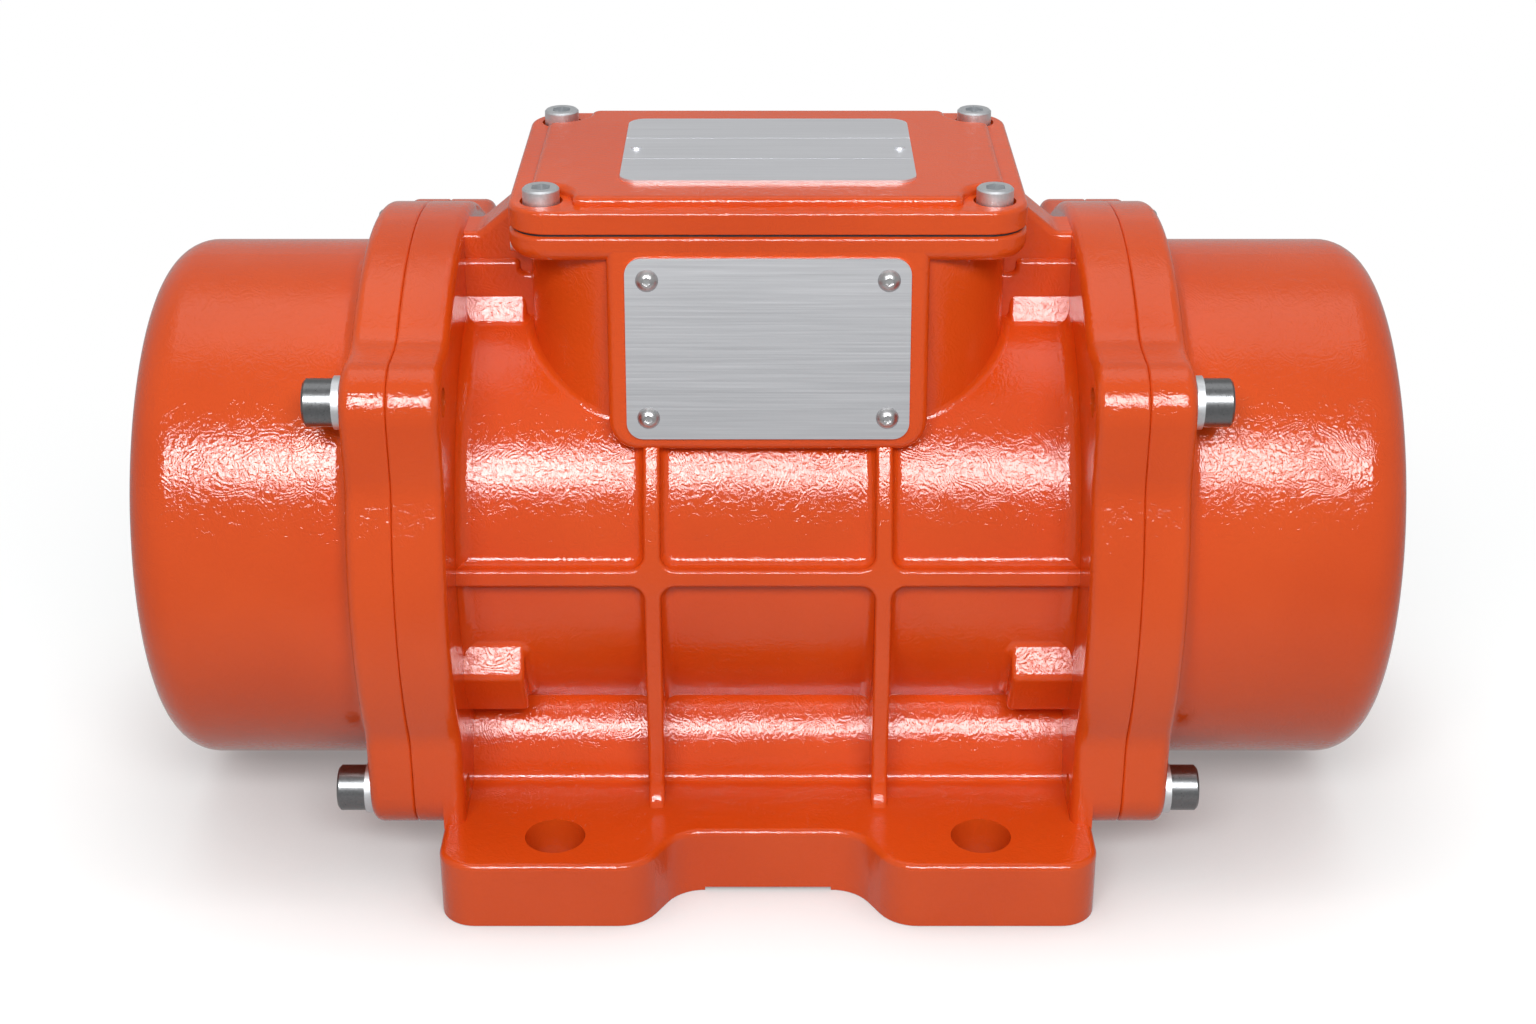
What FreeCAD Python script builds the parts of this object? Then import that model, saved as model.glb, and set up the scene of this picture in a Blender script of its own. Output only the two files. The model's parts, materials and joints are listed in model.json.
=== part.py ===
"""External electric vibration motor: a foot-mounted, totally enclosed motor whose shaft carries
an eccentric weight pair at each end, under a bolted cover.

Frame: millimetres. X runs along the rotor shaft, Y across the feet, Z up. The origin is the
centre of the mounting face, between the four foot holes. The terminal box is on top, the
nameplate faces -Y and the cable gland faces +Y.
"""
import FreeCAD
import Part
import math
import os

Vector = FreeCAD.Vector
X_AXIS = Vector(1, 0, 0)
Y_AXIS = Vector(0, 1, 0)
Z_AXIS = Vector(0, 0, 1)

# ---------------------------------------------------------------- driving dimensions (mm)
axis_height = 86.0            # shaft centre above the mounting face

# general clearances
fit_gap = 0.02                # between parts pressed or pushed together
thread_clearance = 0.03       # between a screw and its tapped hole
laid_gap = 0.1                # between parts that only lie beside each other
hole_clearance = 0.5          # on the radius of a clearance hole
cut_over = 1.0                # how far a cutting body runs past the face that it opens
bite = 1.0                    # how far one part of a casting runs into the next
near = 0.01                   # places closer than this count as one

# mounting feet
hole_pitch_x = 120.0
hole_pitch_y = 170.0
foot_hole_d = 17.0
foot_thickness = 20.0
foot_margin_y = 15.0          # from the hole row to the front edge
foot_corner_r = 10.0
foot_edge_r = 1.8
waist_half_x = 18.0           # half width of the straight middle stretch
waist_depth = 17.5            # how far the middle stretch stands back from the pads
waist_slope = 60.0            # degrees, of the S-shaped step between them
waist_r = 12.0
pad_relief = 1.0              # the middle is machined clear of the mounting face

# stator barrel
stator_r = 55.0
barrel_wall = 7.0
barrel_half = 86.0            # inner faces of the end flanges
barrel_root_r = 4.0           # where the barrel meets the end flanges
rib_height = 5.0
rib_thickness = 4.6
rib_crest_r = 1.1
rib_x = 32.0                  # the two upright ribs on each side
level_rib_z = 5.5             # the level rib, above the shaft centre
panel_floor_r = 3.0
panel_corner_r = 4.2
panel_underside = 62.0        # degrees below level where the lower panels end, inside the cradle
rib_flare_r = 7.5

# cradle between the barrel and the feet
cradle_half_y = 55.0
cradle_shoulder_r = 25.0
cradle_drop = 41.0            # its top, below the shaft centre
saddle_root_r = 3.0           # between the cradle and the feet

# end flanges of the housing and of the covers
flange_r = 88.0
flange_thickness = 14.0
cover_flange_thickness = 12.7
flange_floor_clearance = 4.0  # the flange is cut flat above the mounting face
flange_edge_r = 3.0           # towards the barrel
parting_edge_r = 0.8          # on both sides of the joint between housing and cover
cover_edge_r = 3.0
lobe_margin = 10.5            # from a cover bolt to the lobe's flat sides
lobe_corner_r = 13.0
lobe_blend_r = 16.0
cover_bolt_y = 69.0
cover_bolt_z = 60.0           # above and below the shaft centre
end_web_thickness = 6.0       # web from each end flange down to the foot

# end covers
dome_r = 76.8
dome_wall = 4.5
dome_length = 62.3            # beyond the cover's flange
dome_edge_r = 12.0
dome_root_r = 4.0
o_ring_inner_r = 78.0
o_ring_outer_r = 81.0
o_ring_depth = 2.4
o_ring_gap = 0.05

# screws: shank radius, head radius and height, socket across flats and its depth
m8_shank_r = 4.0
m8_head_r = 6.5
m8_head_height = 8.0
m8_socket = 6.0
m8_socket_depth = 4.0
m6_shank_r = 3.0
m6_head_r = 5.0
m6_head_height = 6.0
m6_socket = 5.0
m6_socket_depth = 3.0
m5_shank_r = 2.5
m5_head_r = 4.25
m5_head_height = 3.0
m5_socket = 4.0
m5_socket_depth = 1.6
m3_shank_r = 1.5
m3_head_r = 2.8
m3_head_height = 2.0
m3_socket = 2.5
m3_socket_depth = 1.2
head_chamfer_share = 0.08     # of the head's height
spring_washer_thickness = 2.0
spring_washer_r = 7.2
spring_washer_slit = 0.8
spring_washer_play = 0.2
cover_bolt_tip = 2.0          # how far the tip stays inside the flange's inner face

# bearing carriers
carrier_r = 70.0
carrier_disc = 7.0
carrier_spigot = 6.0
carrier_hub_r = 46.0
carrier_hub_slope = 4.0       # how much wider the hub is at the carrier's outer face
carrier_lip = 4.0             # behind the bearing
carrier_seal_gap = 1.5        # round the shaft
carrier_bolt_r = 62.0
carrier_bolt_angles = (90.0, -30.0, 210.0)
carrier_tap_depth = 20.0
carrier_bolt_tip = 4.0        # how far the bolt ends short of its tapped hole's end
boss_length = 17.0
boss_top_r = 69.4
boss_top_width = 18.0
boss_side_slope = 28.0        # degrees from radial
boss_edge_r = 1.5
boss_corner_r = 2.5
boss_root_r = 2.4

# bearing, 30 x 72 x 19 cylindrical roller
bearing_bore_r = 15.0
bearing_outer_r = 36.0
bearing_width = 19.0
bearing_inset = 2.0           # its inner face, beyond the end of the barrel
inner_race_r = 20.3
outer_race_r = 30.5
race_lip = 2.6
race_lip_height = 2.2
roller_r = 5.0
roller_count = 12
roller_length = 12.6
roller_play = 0.1             # radial play between a roller and each race
cage_half_thickness = 2.1
cage_bar = 1.8                # beyond each end of the rollers
cage_pocket_play = 0.15
cap_thickness = 4.0
cap_bolt_r = 41.0
cap_bore_clearance = 0.4
cap_hole_clearance = 0.25
cap_tap_depth = 9.0
cap_screw_grip = 8.0          # how far a cap screw reaches into the carrier

# shaft and rotor
shaft_mid_r = 17.0
shaft_overrun = 2.5           # beyond the circlip
shaft_chamfer = 1.0
core_half = 38.0
rotor_r = 32.2
air_gap = 0.4
rotor_ring_length = 8.0
rotor_ring_step = 5.0         # from the shaft to the end ring's bore
rotor_ring_inset = 0.8        # below the core's surface
rotor_lug_r = 2.0
rotor_lug_length = 4.0
rotor_lug_count = 6

# stator core and winding
slot_count = 18
slot_depth = 14.0
slot_width = 5.6
slot_mouth = 2.2
slot_lip = 1.2
slot_taper = 1.45             # width at the slot's floor over its width at the mouth
slot_liner = 0.25             # between a coil side and its slot
end_turn_gap = 0.3            # between the core and the taped end turn
end_turn_length = 22.0
end_turn_inner_r = 36.5
end_turn_outer_r = 51.0
end_turn_edge_r = 4.0

# eccentric weights
weight_r = 66.0
weight_thickness = 22.0
weight_half_angle = 82.0      # of the heavy sector, each side of straight down
weight_hub_r = 26.0
sleeve_length = 8.0
sleeve_r = 20.0
disc_thickness = 2.0
disc_r = 40.0
disc_notch_width = 1.2
disc_notch_depth = 2.0
disc_notch_step = 15.0        # degrees
disc_notch_side = 6           # notches each side of the top one
running_gap = 0.05
weight_end_gap = 0.1          # beside the adjustable weight
key_width = 8.0
key_height = 7.0
key_drop = 4.0                # from the shaft's surface to the key's underside
key_end_gap = 1.0             # from the key to each face of its weight
clamp_slit = 3.0
clamp_ear_half = 13.0
clamp_ear_r = 41.0
clamp_bolt_r = 32.0
clamp_bolt_tip = 1.0
washer_thickness = 2.0
washer_r = 24.0
circlip_thickness = 1.5
circlip_r = 19.0
circlip_groove = 0.9
circlip_mouth = 7.0

# terminal box
neck_half_x = 66.5
neck_half_y = 44.0
neck_corner_r = 30.0
neck_root_r = 2.5             # between the neck and the barrel
neck_foot = 20.0              # how far above the shaft centre the neck starts, inside the barrel
box_rise = 98.0               # top face of the box, above the shaft centre
box_margin_x = 3.5            # how far the box flange stands out over the neck
box_margin_y = 2.5
box_corner_r = 11.0
box_flange_thickness = 7.5
box_flange_underside_r = 4.0
box_edge_r = 1.2
chamber_wall = 8.0
chamber_floor_thickness = 7.5
lead_hole_r = 8.0
gasket_thickness = 0.7
gasket_inset = 0.9
lid_thickness = 6.4
lid_underside_r = 0.5
lid_raise = 2.4
lid_field_margin_x = 5.5      # from the lid's edge to its raised field
lid_field_margin_y = 5.0
lid_field_cut = 12.0          # the field's corners step back round the screws
lid_field_scallop_r = 9.0
lid_field_corner_r = 2.9
lid_field_edge_r = 1.9
lid_pocket_gap = 2.0          # from the chamber's wall to the pocket under the lid
lid_pocket_depth = 2.5
lid_screw_inset_x = 9.0       # from the lid's edge
lid_screw_inset_y = 10.0
lid_hole_clearance = 0.4
lid_spot_depth = 2.2
lid_spot_r = 5.8

# webs from the terminal box to the end flanges
top_web_half_y = 8.0
top_web_edge_r = 2.0
top_web_bend_r = 3.0
top_web_drop = 2.0            # its ends, below the flange's top and below the box's top
top_web_flat = 4.0            # level stretch beside the flange
top_block_half_y = 10.0
top_block_rise = 9.0          # above the carrier boss
top_block_step = 4.0          # the part beside the neck is this much lower
top_block_edge_r = 1.6

# plates
wall_half_x = 43.5            # front wall for the nameplate
wall_rise = 39.6              # its lower edge, above the shaft centre
wall_drop = 4.4               # its upper edge, below the top of the box
wall_rib_gap = 0.5            # between its lower edge and the ribs' circle
wall_depth = 14.0
wall_corner_r = 8.0
wall_edge_r = 2.4
nameplate_half_x = 38.5
nameplate_height = 50.0
nameplate_r = 4.5
nameplate_top_gap = 1.2       # below the wall's upper edge
nameplate_thickness = 1.0
nameplate_screw_inset = 6.0
nameplate_screw_r = 3.1
nameplate_screw_height = 1.9
nameplate_socket = 2.2
nameplate_socket_depth = 1.1
nameplate_pin_r = 1.3
nameplate_pin_depth = 3.0
nameplate_tap_depth = 4.0
lid_plate_margin_x = 24.0     # from the raised field's edge
lid_plate_margin_y = 12.5
lid_plate_r = 5.0
lid_plate_thickness = 0.8
lid_plate_score_width = 0.3   # two lines that part the plate into three bands
lid_plate_score_depth = 0.2
lid_rivet_inset = 3.4
lid_rivet_r = 1.5
lid_rivet_pin_r = 0.9
lid_rivet_pin_length = 2.5
lid_rivet_height = 0.6
lid_rivet_hole_depth = 3.0

# terminal block and its studs
block_half_x = 30.0
block_half_y = 16.0
block_height = 9.0
block_corner_r = 2.0
block_barrier = 4.0
barrier_thickness = 1.6
block_screw_inset = 4.0
block_screw_grip = 4.5        # how far its screws reach into the floor
block_tap_depth = 5.0
block_hole_clearance = 0.2
stud_pitch_x = 18.0
stud_row_y = 8.0
stud_r = 2.0
stud_height = 8.0             # above the block
stud_seat = 3.0               # blind end of a stud's hole, above the block's underside
nut_flats = 7.0
nut_height = 3.2
lead_r = 1.3
lead_spread = 2.2             # leads stand this far either side of the hole's centre, in pairs
lead_pitch = 2.8
lead_rise = 3.0               # each pair of leads runs this much above the one before
lead_gap = 0.4                # beside a nut
eye_thickness = 0.8
eye_r = 3.4
link_half_y = 3.4

# cable gland, M20
gland_drop = 23.0             # its axis, below the top face of the box
gland_thread_r = 10.0
gland_bore_r = 6.5
gland_hex_flats = 24.0
gland_hex_length = 6.0
gland_body_length = 8.0
gland_spigot_step = 0.5
gland_nut_flats = 22.5
gland_nut_r = 11.6
gland_nut_length = 16.0
gland_nut_hex_share = 0.55
gland_nut_edge_r = 4.0
gland_seal_r = 9.0
gland_seal_overrun = 2.0      # beyond the body's spigot
gland_seal_gap = 0.05

# earth screw on the neck's left side
earth_screw_y = -13.6
earth_screw_drop = 12.5       # below the top face of the box
earth_washer_r = 3.0
earth_washer = 1.2
earth_head_r = 2.7
earth_screw_head = 4.5
earth_thread_r = 2.0
earth_thread_depth = 6.0
earth_tap_margin = 1.0
earth_slot_depth = 1.5
earth_slot_width = 0.75

# ---------------------------------------------------------------- derived sizes
shaft_centre = Vector(0, 0, axis_height)
barrel_r = stator_r + barrel_wall
rib_r = barrel_r + rib_height
cradle_top = axis_height - cradle_drop
flange_face = barrel_half + flange_thickness
cover_face = flange_face + cover_flange_thickness
dome_end_x = cover_face + dome_length
foot_half_x = barrel_half + end_web_thickness
foot_half_y = hole_pitch_y / 2 + foot_margin_y
bearing_inner = barrel_half + bearing_inset
bearing_outer_x = bearing_inner + bearing_width
bearing_middle = bearing_inner + bearing_width / 2
roller_pitch_r = inner_race_r + roller_play + roller_r
carrier_inner = flange_face - carrier_disc
weight_start = bearing_outer_x + sleeve_length
disc_start = weight_start + weight_thickness
setting_start = disc_start + disc_thickness
washer_start = setting_start + weight_thickness
circlip_start = washer_start + washer_thickness
shaft_end_x = circlip_start + circlip_thickness + shaft_overrun
box_top = axis_height + box_rise
box_half_x = neck_half_x + box_margin_x
box_half_y = neck_half_y + box_margin_y
chamber_half_x = neck_half_x - chamber_wall
chamber_half_y = neck_half_y - chamber_wall
chamber_corner_r = neck_corner_r - chamber_wall
chamber_floor = axis_height + stator_r + chamber_floor_thickness
block_top = chamber_floor + block_height
lead_hole_x = core_half + end_turn_length / 2
lid_bottom = box_top + gasket_thickness
lid_top = lid_bottom + lid_thickness
lid_raised_top = lid_top + lid_raise
lid_field_half_x = box_half_x - lid_field_margin_x
lid_field_half_y = box_half_y - lid_field_margin_y
lid_screw_x = box_half_x - lid_screw_inset_x
lid_screw_y = box_half_y - lid_screw_inset_y
lid_plate_half_x = lid_field_half_x - lid_plate_margin_x
lid_plate_half_y = lid_field_half_y - lid_plate_margin_y
lid_plate_top = lid_raised_top + lid_plate_thickness
lid_rivet_x = lid_plate_half_x - lid_rivet_inset
wall_top_z = box_top - wall_drop
wall_low_z = axis_height + wall_rise
wall_low_y = math.sqrt((rib_r + wall_rib_gap) ** 2 - wall_rise ** 2)
wall_tilt = math.atan2(wall_low_y - box_half_y, wall_top_z - wall_low_z)
wall_length = math.hypot(wall_low_y - box_half_y, wall_top_z - wall_low_z)
wall_outward = Vector(0, -math.cos(wall_tilt), math.sin(wall_tilt))
gland_z = box_top - gland_drop
gland_start = neck_half_y - chamber_wall
gland_shoulder = neck_half_y + gland_hex_length
gland_end = gland_shoulder + gland_nut_length


# ---------------------------------------------------------------- helpers
def towards(corner, here):
    """Unit direction from here to a (u, v, radius) corner."""
    return (Vector(corner[0], corner[1], 0) - here).normalize()


def rounded_wire(corners, place):
    """Closed wire through (u, v, radius) corners, set in space by place(u, v)."""
    count = len(corners)
    ends = []
    arcs = []
    for i, (u, v, r) in enumerate(corners):
        here = Vector(u, v, 0)
        back = towards(corners[i - 1], here)
        ahead = towards(corners[(i + 1) % count], here)
        half = back.getAngle(ahead) / 2
        start = here + back * (r / math.tan(half))
        end = here + ahead * (r / math.tan(half))
        ends.append((start, end))
        arc = None
        if r > 0:
            middle = here + (back + ahead).normalize() * (r / math.sin(half) - r)
            arc = Part.Arc(*[place(p.x, p.y) for p in (start, middle, end)]).toShape()
        arcs.append(arc)
    edges = []
    for i, arc in enumerate(arcs):
        if arc:
            edges.append(arc)
        start = ends[i][1]
        end = ends[(i + 1) % count][0]
        if (end - start).Length > near * near:
            edges.append(Part.makeLine(place(start.x, start.y), place(end.x, end.y)))
    return Part.Wire(edges)


def prism(corners, place, direction):
    """Solid made by pushing a rounded outline along direction."""
    return Part.Face(rounded_wire(corners, place)).extrude(direction)


def on_plan(z):
    """Level plane: u is X and v is Y."""
    return lambda u, v: Vector(u, v, z)


def on_section(x):
    """Section plane across the shaft: u is Y and v is Z above the mounting face."""
    return lambda u, v: Vector(x, u, v)


def on_shaft_section(x):
    """Section plane across the shaft: u is Y and v is Z above the shaft centre."""
    return lambda u, v: Vector(x, u, v + axis_height)


def on_side(y):
    """Upright plane along the shaft: u is X and v is Z above the mounting face."""
    return lambda u, v: Vector(u, y, v)


def on_shaft_side(x, r):
    """Upright plane through the shaft: x along it and r out from its centre."""
    return Vector(x, 0, axis_height + r)


def rectangle(half_u, half_v, radius):
    corners = [(-1, -1), (1, -1), (1, 1), (-1, 1)]
    return [(u * half_u, v * half_v, radius) for u, v in corners]


def plate(half_x, half_y, radius, bottom, top):
    """Upright rounded plate, standing between two levels."""
    return prism(rectangle(half_x, half_y, radius), on_plan(bottom), Z_AXIS * (top - bottom))


def upright_rod(x, y, bottom, top, radius):
    return Part.makeCylinder(radius, top - bottom, Vector(x, y, bottom))


def cross_rod(y0, y1, radius):
    """Cylinder along the gland's centre line."""
    return Part.makeCylinder(radius, y1 - y0, Vector(0, y0, gland_z), Y_AXIS)


def turned(profile):
    """Solid of revolution about the shaft centre line, from (x, r) corners."""
    return rounded_turn([(x, r, 0) for x, r in profile])


def rounded_turn(corners):
    """Solid of revolution about the shaft, from (x, r, fillet) corners."""
    return Part.Face(rounded_wire(corners, on_shaft_side)).revolve(shaft_centre, X_AXIS, 360)


def tube(x0, x1, inner_r, outer_r):
    return turned([(x0, inner_r), (x1, inner_r), (x1, outer_r), (x0, outer_r)])


def rod(x0, x1, radius, y=0.0, z=0.0):
    """Cylinder along the shaft direction, at (y, z) from the shaft centre."""
    return Part.makeCylinder(radius, x1 - x0, Vector(x0, y, axis_height + z), X_AXIS)


def polar(radius, degrees):
    """(y, z) at a radius round the shaft; 0 degrees is towards +Y and 90 is up."""
    angle = math.radians(degrees)
    return radius * math.cos(angle), radius * math.sin(angle)


def turn_about_shaft(shape, degrees):
    copy = shape.copy()
    copy.rotate(shaft_centre, X_AXIS, degrees)
    return copy


def mirrored(shape):
    """The same piece at the other end of the motor."""
    return shape.mirror(Vector(0, 0, 0), X_AXIS)


def both_ends(shape):
    return [shape, mirrored(shape)]


def front_and_back(shape):
    return [shape, shape.mirror(Vector(0, 0, 0), Y_AXIS)]


def group(shapes):
    return Part.makeCompound(shapes)


def edges_at_level(shape, z):
    """Edges that lie wholly on the level z."""
    boxes = [(edge, edge.BoundBox) for edge in shape.Edges]
    return [edge for edge, box in boxes if abs(box.ZMin - z) < near and box.ZLength < near]


def edges_at_x(shape, x):
    """Edges that lie wholly on the section at x."""
    boxes = [(edge, edge.BoundBox) for edge in shape.Edges]
    return [edge for edge, box in boxes if abs(box.XMin - x) < near and box.XLength < near]


def end_radii(edge):
    """Distances from the shaft of an edge's two ends, the smaller first."""
    ends = (edge.Vertexes[0].Point, edge.Vertexes[-1].Point)
    return sorted(math.hypot(point.y, point.z - axis_height) for point in ends)


def hexagon(flats, place, direction):
    corner = flats / math.sqrt(3)
    angles = [math.radians(60 * k + 30) for k in range(6)]
    corners = [(corner * math.cos(a), corner * math.sin(a), 0) for a in angles]
    return prism(corners, place, direction)


def socket_screw(shank_r, head_r, head_height, socket, socket_depth, length):
    """Socket head cap screw: head bottom at the origin, head towards +Z, shank towards -Z."""
    head = Part.makeCylinder(head_r, head_height)
    head = head.makeChamfer(head_height * head_chamfer_share, edges_at_level(head, head_height))
    drive = hexagon(socket, on_plan(head_height - socket_depth), Z_AXIS * (socket_depth + cut_over))
    shank = Part.makeCylinder(shank_r, length, Vector(0, 0, -length))
    return head.fuse(shank).cut(drive)


def m8_screw(length):
    return socket_screw(m8_shank_r, m8_head_r, m8_head_height, m8_socket, m8_socket_depth, length)


def m6_screw(length):
    return socket_screw(m6_shank_r, m6_head_r, m6_head_height, m6_socket, m6_socket_depth, length)


def m5_screw(length):
    return socket_screw(m5_shank_r, m5_head_r, m5_head_height, m5_socket, m5_socket_depth, length)


def m3_screw(length):
    return socket_screw(m3_shank_r, m3_head_r, m3_head_height, m3_socket, m3_socket_depth, length)


def placed(shape, position, axis):
    """A piece made along +Z, set at a position and pointed along an axis."""
    copy = shape.copy()
    copy.Placement = FreeCAD.Placement(position, FreeCAD.Rotation(Z_AXIS, axis))
    return copy


def cover_bolt_places():
    return [(y, z) for y in (-cover_bolt_y, cover_bolt_y) for z in (-cover_bolt_z, cover_bolt_z)]


def carrier_bolt_places():
    return [polar(carrier_bolt_r, angle) for angle in carrier_bolt_angles]


def cap_screw_places():
    """Midway between the carrier bolts."""
    return [polar(cap_bolt_r, angle + 60) for angle in carrier_bolt_angles]


def lid_screw_places():
    return [(x, y) for x in (-lid_screw_x, lid_screw_x) for y in (-lid_screw_y, lid_screw_y)]


def block_screw_places():
    inset = block_half_x - block_screw_inset
    return (-inset, inset)


def stud_places():
    columns = (-stud_pitch_x, 0, stud_pitch_x)
    return [(x, y) for x in columns for y in (-stud_row_y, stud_row_y)]


def nameplate_screw_places():
    """(x, distance down the wall) of the four nameplate screws."""
    low = nameplate_top_gap + nameplate_height - nameplate_screw_inset
    half = nameplate_half_x - nameplate_screw_inset
    return [(x, v) for x in (-half, half) for v in (nameplate_top_gap + nameplate_screw_inset, low)]


# ---------------------------------------------------------------- housing casting
def flange_outline(x0, x1):
    """Round end flange with four square lobes for the cover bolts, cut flat above the floor."""
    length = x1 - x0
    disc = rod(x0, x1, flange_r)
    square = rectangle(cover_bolt_y + lobe_margin, cover_bolt_z + lobe_margin, lobe_corner_r)
    lobes = prism(square, on_shaft_section(x0), X_AXIS * length)
    both = disc.fuse(lobes).removeSplitter()
    both = both.makeFillet(lobe_blend_r, [e for e in both.Edges if is_valley(e, length)])
    half = flange_r + lobe_margin
    corner = Vector(x0 - cut_over, -half, flange_floor_clearance - half)
    return both.cut(Part.makeBox(length + 2 * cut_over, 2 * half, half, corner))


def is_valley(edge, length):
    """True for a straight edge along the shaft where a lobe's flat side meets the round flange."""
    box = edge.BoundBox
    if box.XLength < length - near or box.YLength > near or box.ZLength > near:
        return False
    return abs(math.hypot(box.YMin, box.ZMin - axis_height) - flange_r) < near


def rim_edges(shape, x):
    """Outer edge loop of a flange on the section at x, apart from its flat underside."""
    return [e for e in edges_at_x(shape, x) if e.BoundBox.ZMax > flange_floor_clearance + near]


def housing_flange():
    flange = flange_outline(barrel_half, flange_face)
    flange = flange.makeFillet(flange_edge_r, rim_edges(flange, barrel_half))
    return flange.makeFillet(parting_edge_r, rim_edges(flange, flange_face))


def panel_cutter(x0, x1, start, sweep):
    """Rounded tool that sinks one panel down to the barrel wall; start and sweep in degrees."""
    top = rib_r + rib_height
    outline = [(x0, barrel_r, 0), (x1, barrel_r, 0), (x1, top, 0), (x0, top, 0)]
    cutter = Part.Face(rounded_wire(outline, on_shaft_side)).revolve(shaft_centre, X_AXIS, sweep)
    cutter.rotate(shaft_centre, X_AXIS, start)
    corners = [e for e in cutter.Edges if end_radii(e)[1] - end_radii(e)[0] > rib_height]
    cutter = cutter.makeFillet(panel_corner_r, corners)
    floor = [e for e in cutter.Edges if end_radii(e)[1] < barrel_r + near]
    return cutter.makeFillet(panel_floor_r, floor)


def ribbed_barrel():
    """Barrel with sunk panels, which leave the upright and level ribs standing."""
    body = rod(-barrel_half, barrel_half, rib_r)
    half_rib = rib_thickness / 2
    past = barrel_half + 2 * panel_corner_r
    side = (rib_x + half_rib, past)
    columns = [(-side[1], -side[0]), (half_rib - rib_x, rib_x - half_rib), side]
    upper = math.degrees(math.asin((level_rib_z + half_rib) / barrel_r))
    lower = math.degrees(math.asin((level_rib_z - half_rib) / barrel_r))
    for x0, x1 in columns:
        body = body.cut(panel_cutter(x0, x1, upper - 90, 180 - 2 * upper))
        body = body.cut(panel_cutter(x0, x1, 90 - lower, lower + panel_underside))
        body = body.cut(panel_cutter(x0, x1, -90 - panel_underside, lower + panel_underside))
    return body.makeFillet(rib_crest_r, crest_edges(body))


def crest_edges(barrel):
    """Edges of the ribs' crests, round each panel."""
    ends = (edges_at_x(barrel, -barrel_half), edges_at_x(barrel, barrel_half))
    skip = [edge.hashCode() for loop in ends for edge in loop]
    crest = [e for e in barrel.Edges if end_radii(e)[0] > rib_r - near]
    return [e for e in crest if e.hashCode() not in skip]


def barrel_root():
    """Ring that rounds the corner between the barrel and an end flange."""
    r = barrel_root_r
    outline = [
        (barrel_half - r - bite, barrel_r - bite, 0),
        (barrel_half - r - bite, barrel_r, 0),
        (barrel_half, barrel_r, r),
        (barrel_half, barrel_r + r + bite, 0),
        (barrel_half + bite, barrel_r + r + bite, 0),
        (barrel_half + bite, barrel_r - bite, 0),
    ]
    return rounded_turn(outline)


def cradle():
    """Block with round shoulders that carries the barrel on the feet."""
    outline = [
        (-cradle_half_y, pad_relief, 0),
        (cradle_half_y, pad_relief, 0),
        (cradle_half_y, cradle_top, cradle_shoulder_r),
        (-cradle_half_y, cradle_top, cradle_shoulder_r),
    ]
    return prism(outline, on_section(-barrel_half), X_AXIS * (2 * barrel_half))


def foot_plate():
    """Four pads joined by a slimmer waist, with the middle relieved from the mounting face."""
    waist_y = foot_half_y - waist_depth
    slope = math.radians(waist_slope)
    waist_x = waist_half_x + waist_r * math.tan(slope / 2)
    pad_x = waist_x + waist_depth / math.tan(slope)
    front = [
        (-foot_half_x, -foot_half_y, foot_corner_r),
        (-pad_x, -foot_half_y, waist_r),
        (-waist_x, -waist_y, waist_r),
        (waist_x, -waist_y, waist_r),
        (pad_x, -foot_half_y, waist_r),
        (foot_half_x, -foot_half_y, foot_corner_r),
    ]
    outline = front + [(-u, -v, r) for u, v, r in front]
    body = prism(outline, on_plan(0), Z_AXIS * foot_thickness)
    body = body.makeFillet(foot_edge_r, edges_at_level(body, foot_thickness))
    corner = Vector(-waist_half_x, -2 * foot_half_y, -pad_relief)
    cuts = [Part.makeBox(2 * waist_half_x, 4 * foot_half_y, 2 * pad_relief, corner)]
    for x in (-hole_pitch_x / 2, hole_pitch_x / 2):
        for y in (-hole_pitch_y / 2, hole_pitch_y / 2):
            cuts.append(upright_rod(x, y, -cut_over, foot_thickness + cut_over, foot_hole_d / 2))
    return body.cut(cuts)


def upright_ribs():
    """Plates that carry the barrel's upright ribs straight down and flare out onto the feet."""
    rear = cradle_half_y - cradle_shoulder_r
    low = foot_thickness - 2 * foot_edge_r
    toe = rib_r + rib_flare_r + bite
    outline = [
        (-barrel_r, axis_height, 0),
        (-rib_r, axis_height, 0),
        (-rib_r, foot_thickness - bite, rib_flare_r),
        (-toe, foot_thickness - bite, 0),
        (-toe, low, 0),
        (-rear, low, 0),
        (-rear, cradle_top, 0),
    ]
    ribs = []
    for x in (-rib_x, rib_x):
        rib = prism(outline, on_section(x - rib_thickness / 2), X_AXIS * rib_thickness)
        front = [e for e in rib.Edges if is_rib_front(e)]
        ribs += front_and_back(rib.makeFillet(rib_crest_r, front))
    return ribs


def is_rib_front(edge):
    """True for the upright and flared front edges of a rib's plate."""
    box = edge.BoundBox
    return box.XLength < near and box.YMax < near - rib_r and box.ZLength > rib_flare_r - near


def saddle():
    """Cradle and feet, with the corner between them rounded."""
    body = cradle().fuse(foot_plate()).removeSplitter()
    return body.makeFillet(saddle_root_r, [e for e in body.Edges if is_cradle_root(e)])


def is_cradle_root(edge):
    """True for the lines where the cradle's sides meet the top of the feet."""
    box = edge.BoundBox
    level = box.ZLength < near and abs(box.ZMin - foot_thickness) < near
    along = box.YLength < near and abs(box.YMin) < cradle_half_y + near
    return level and along


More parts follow.
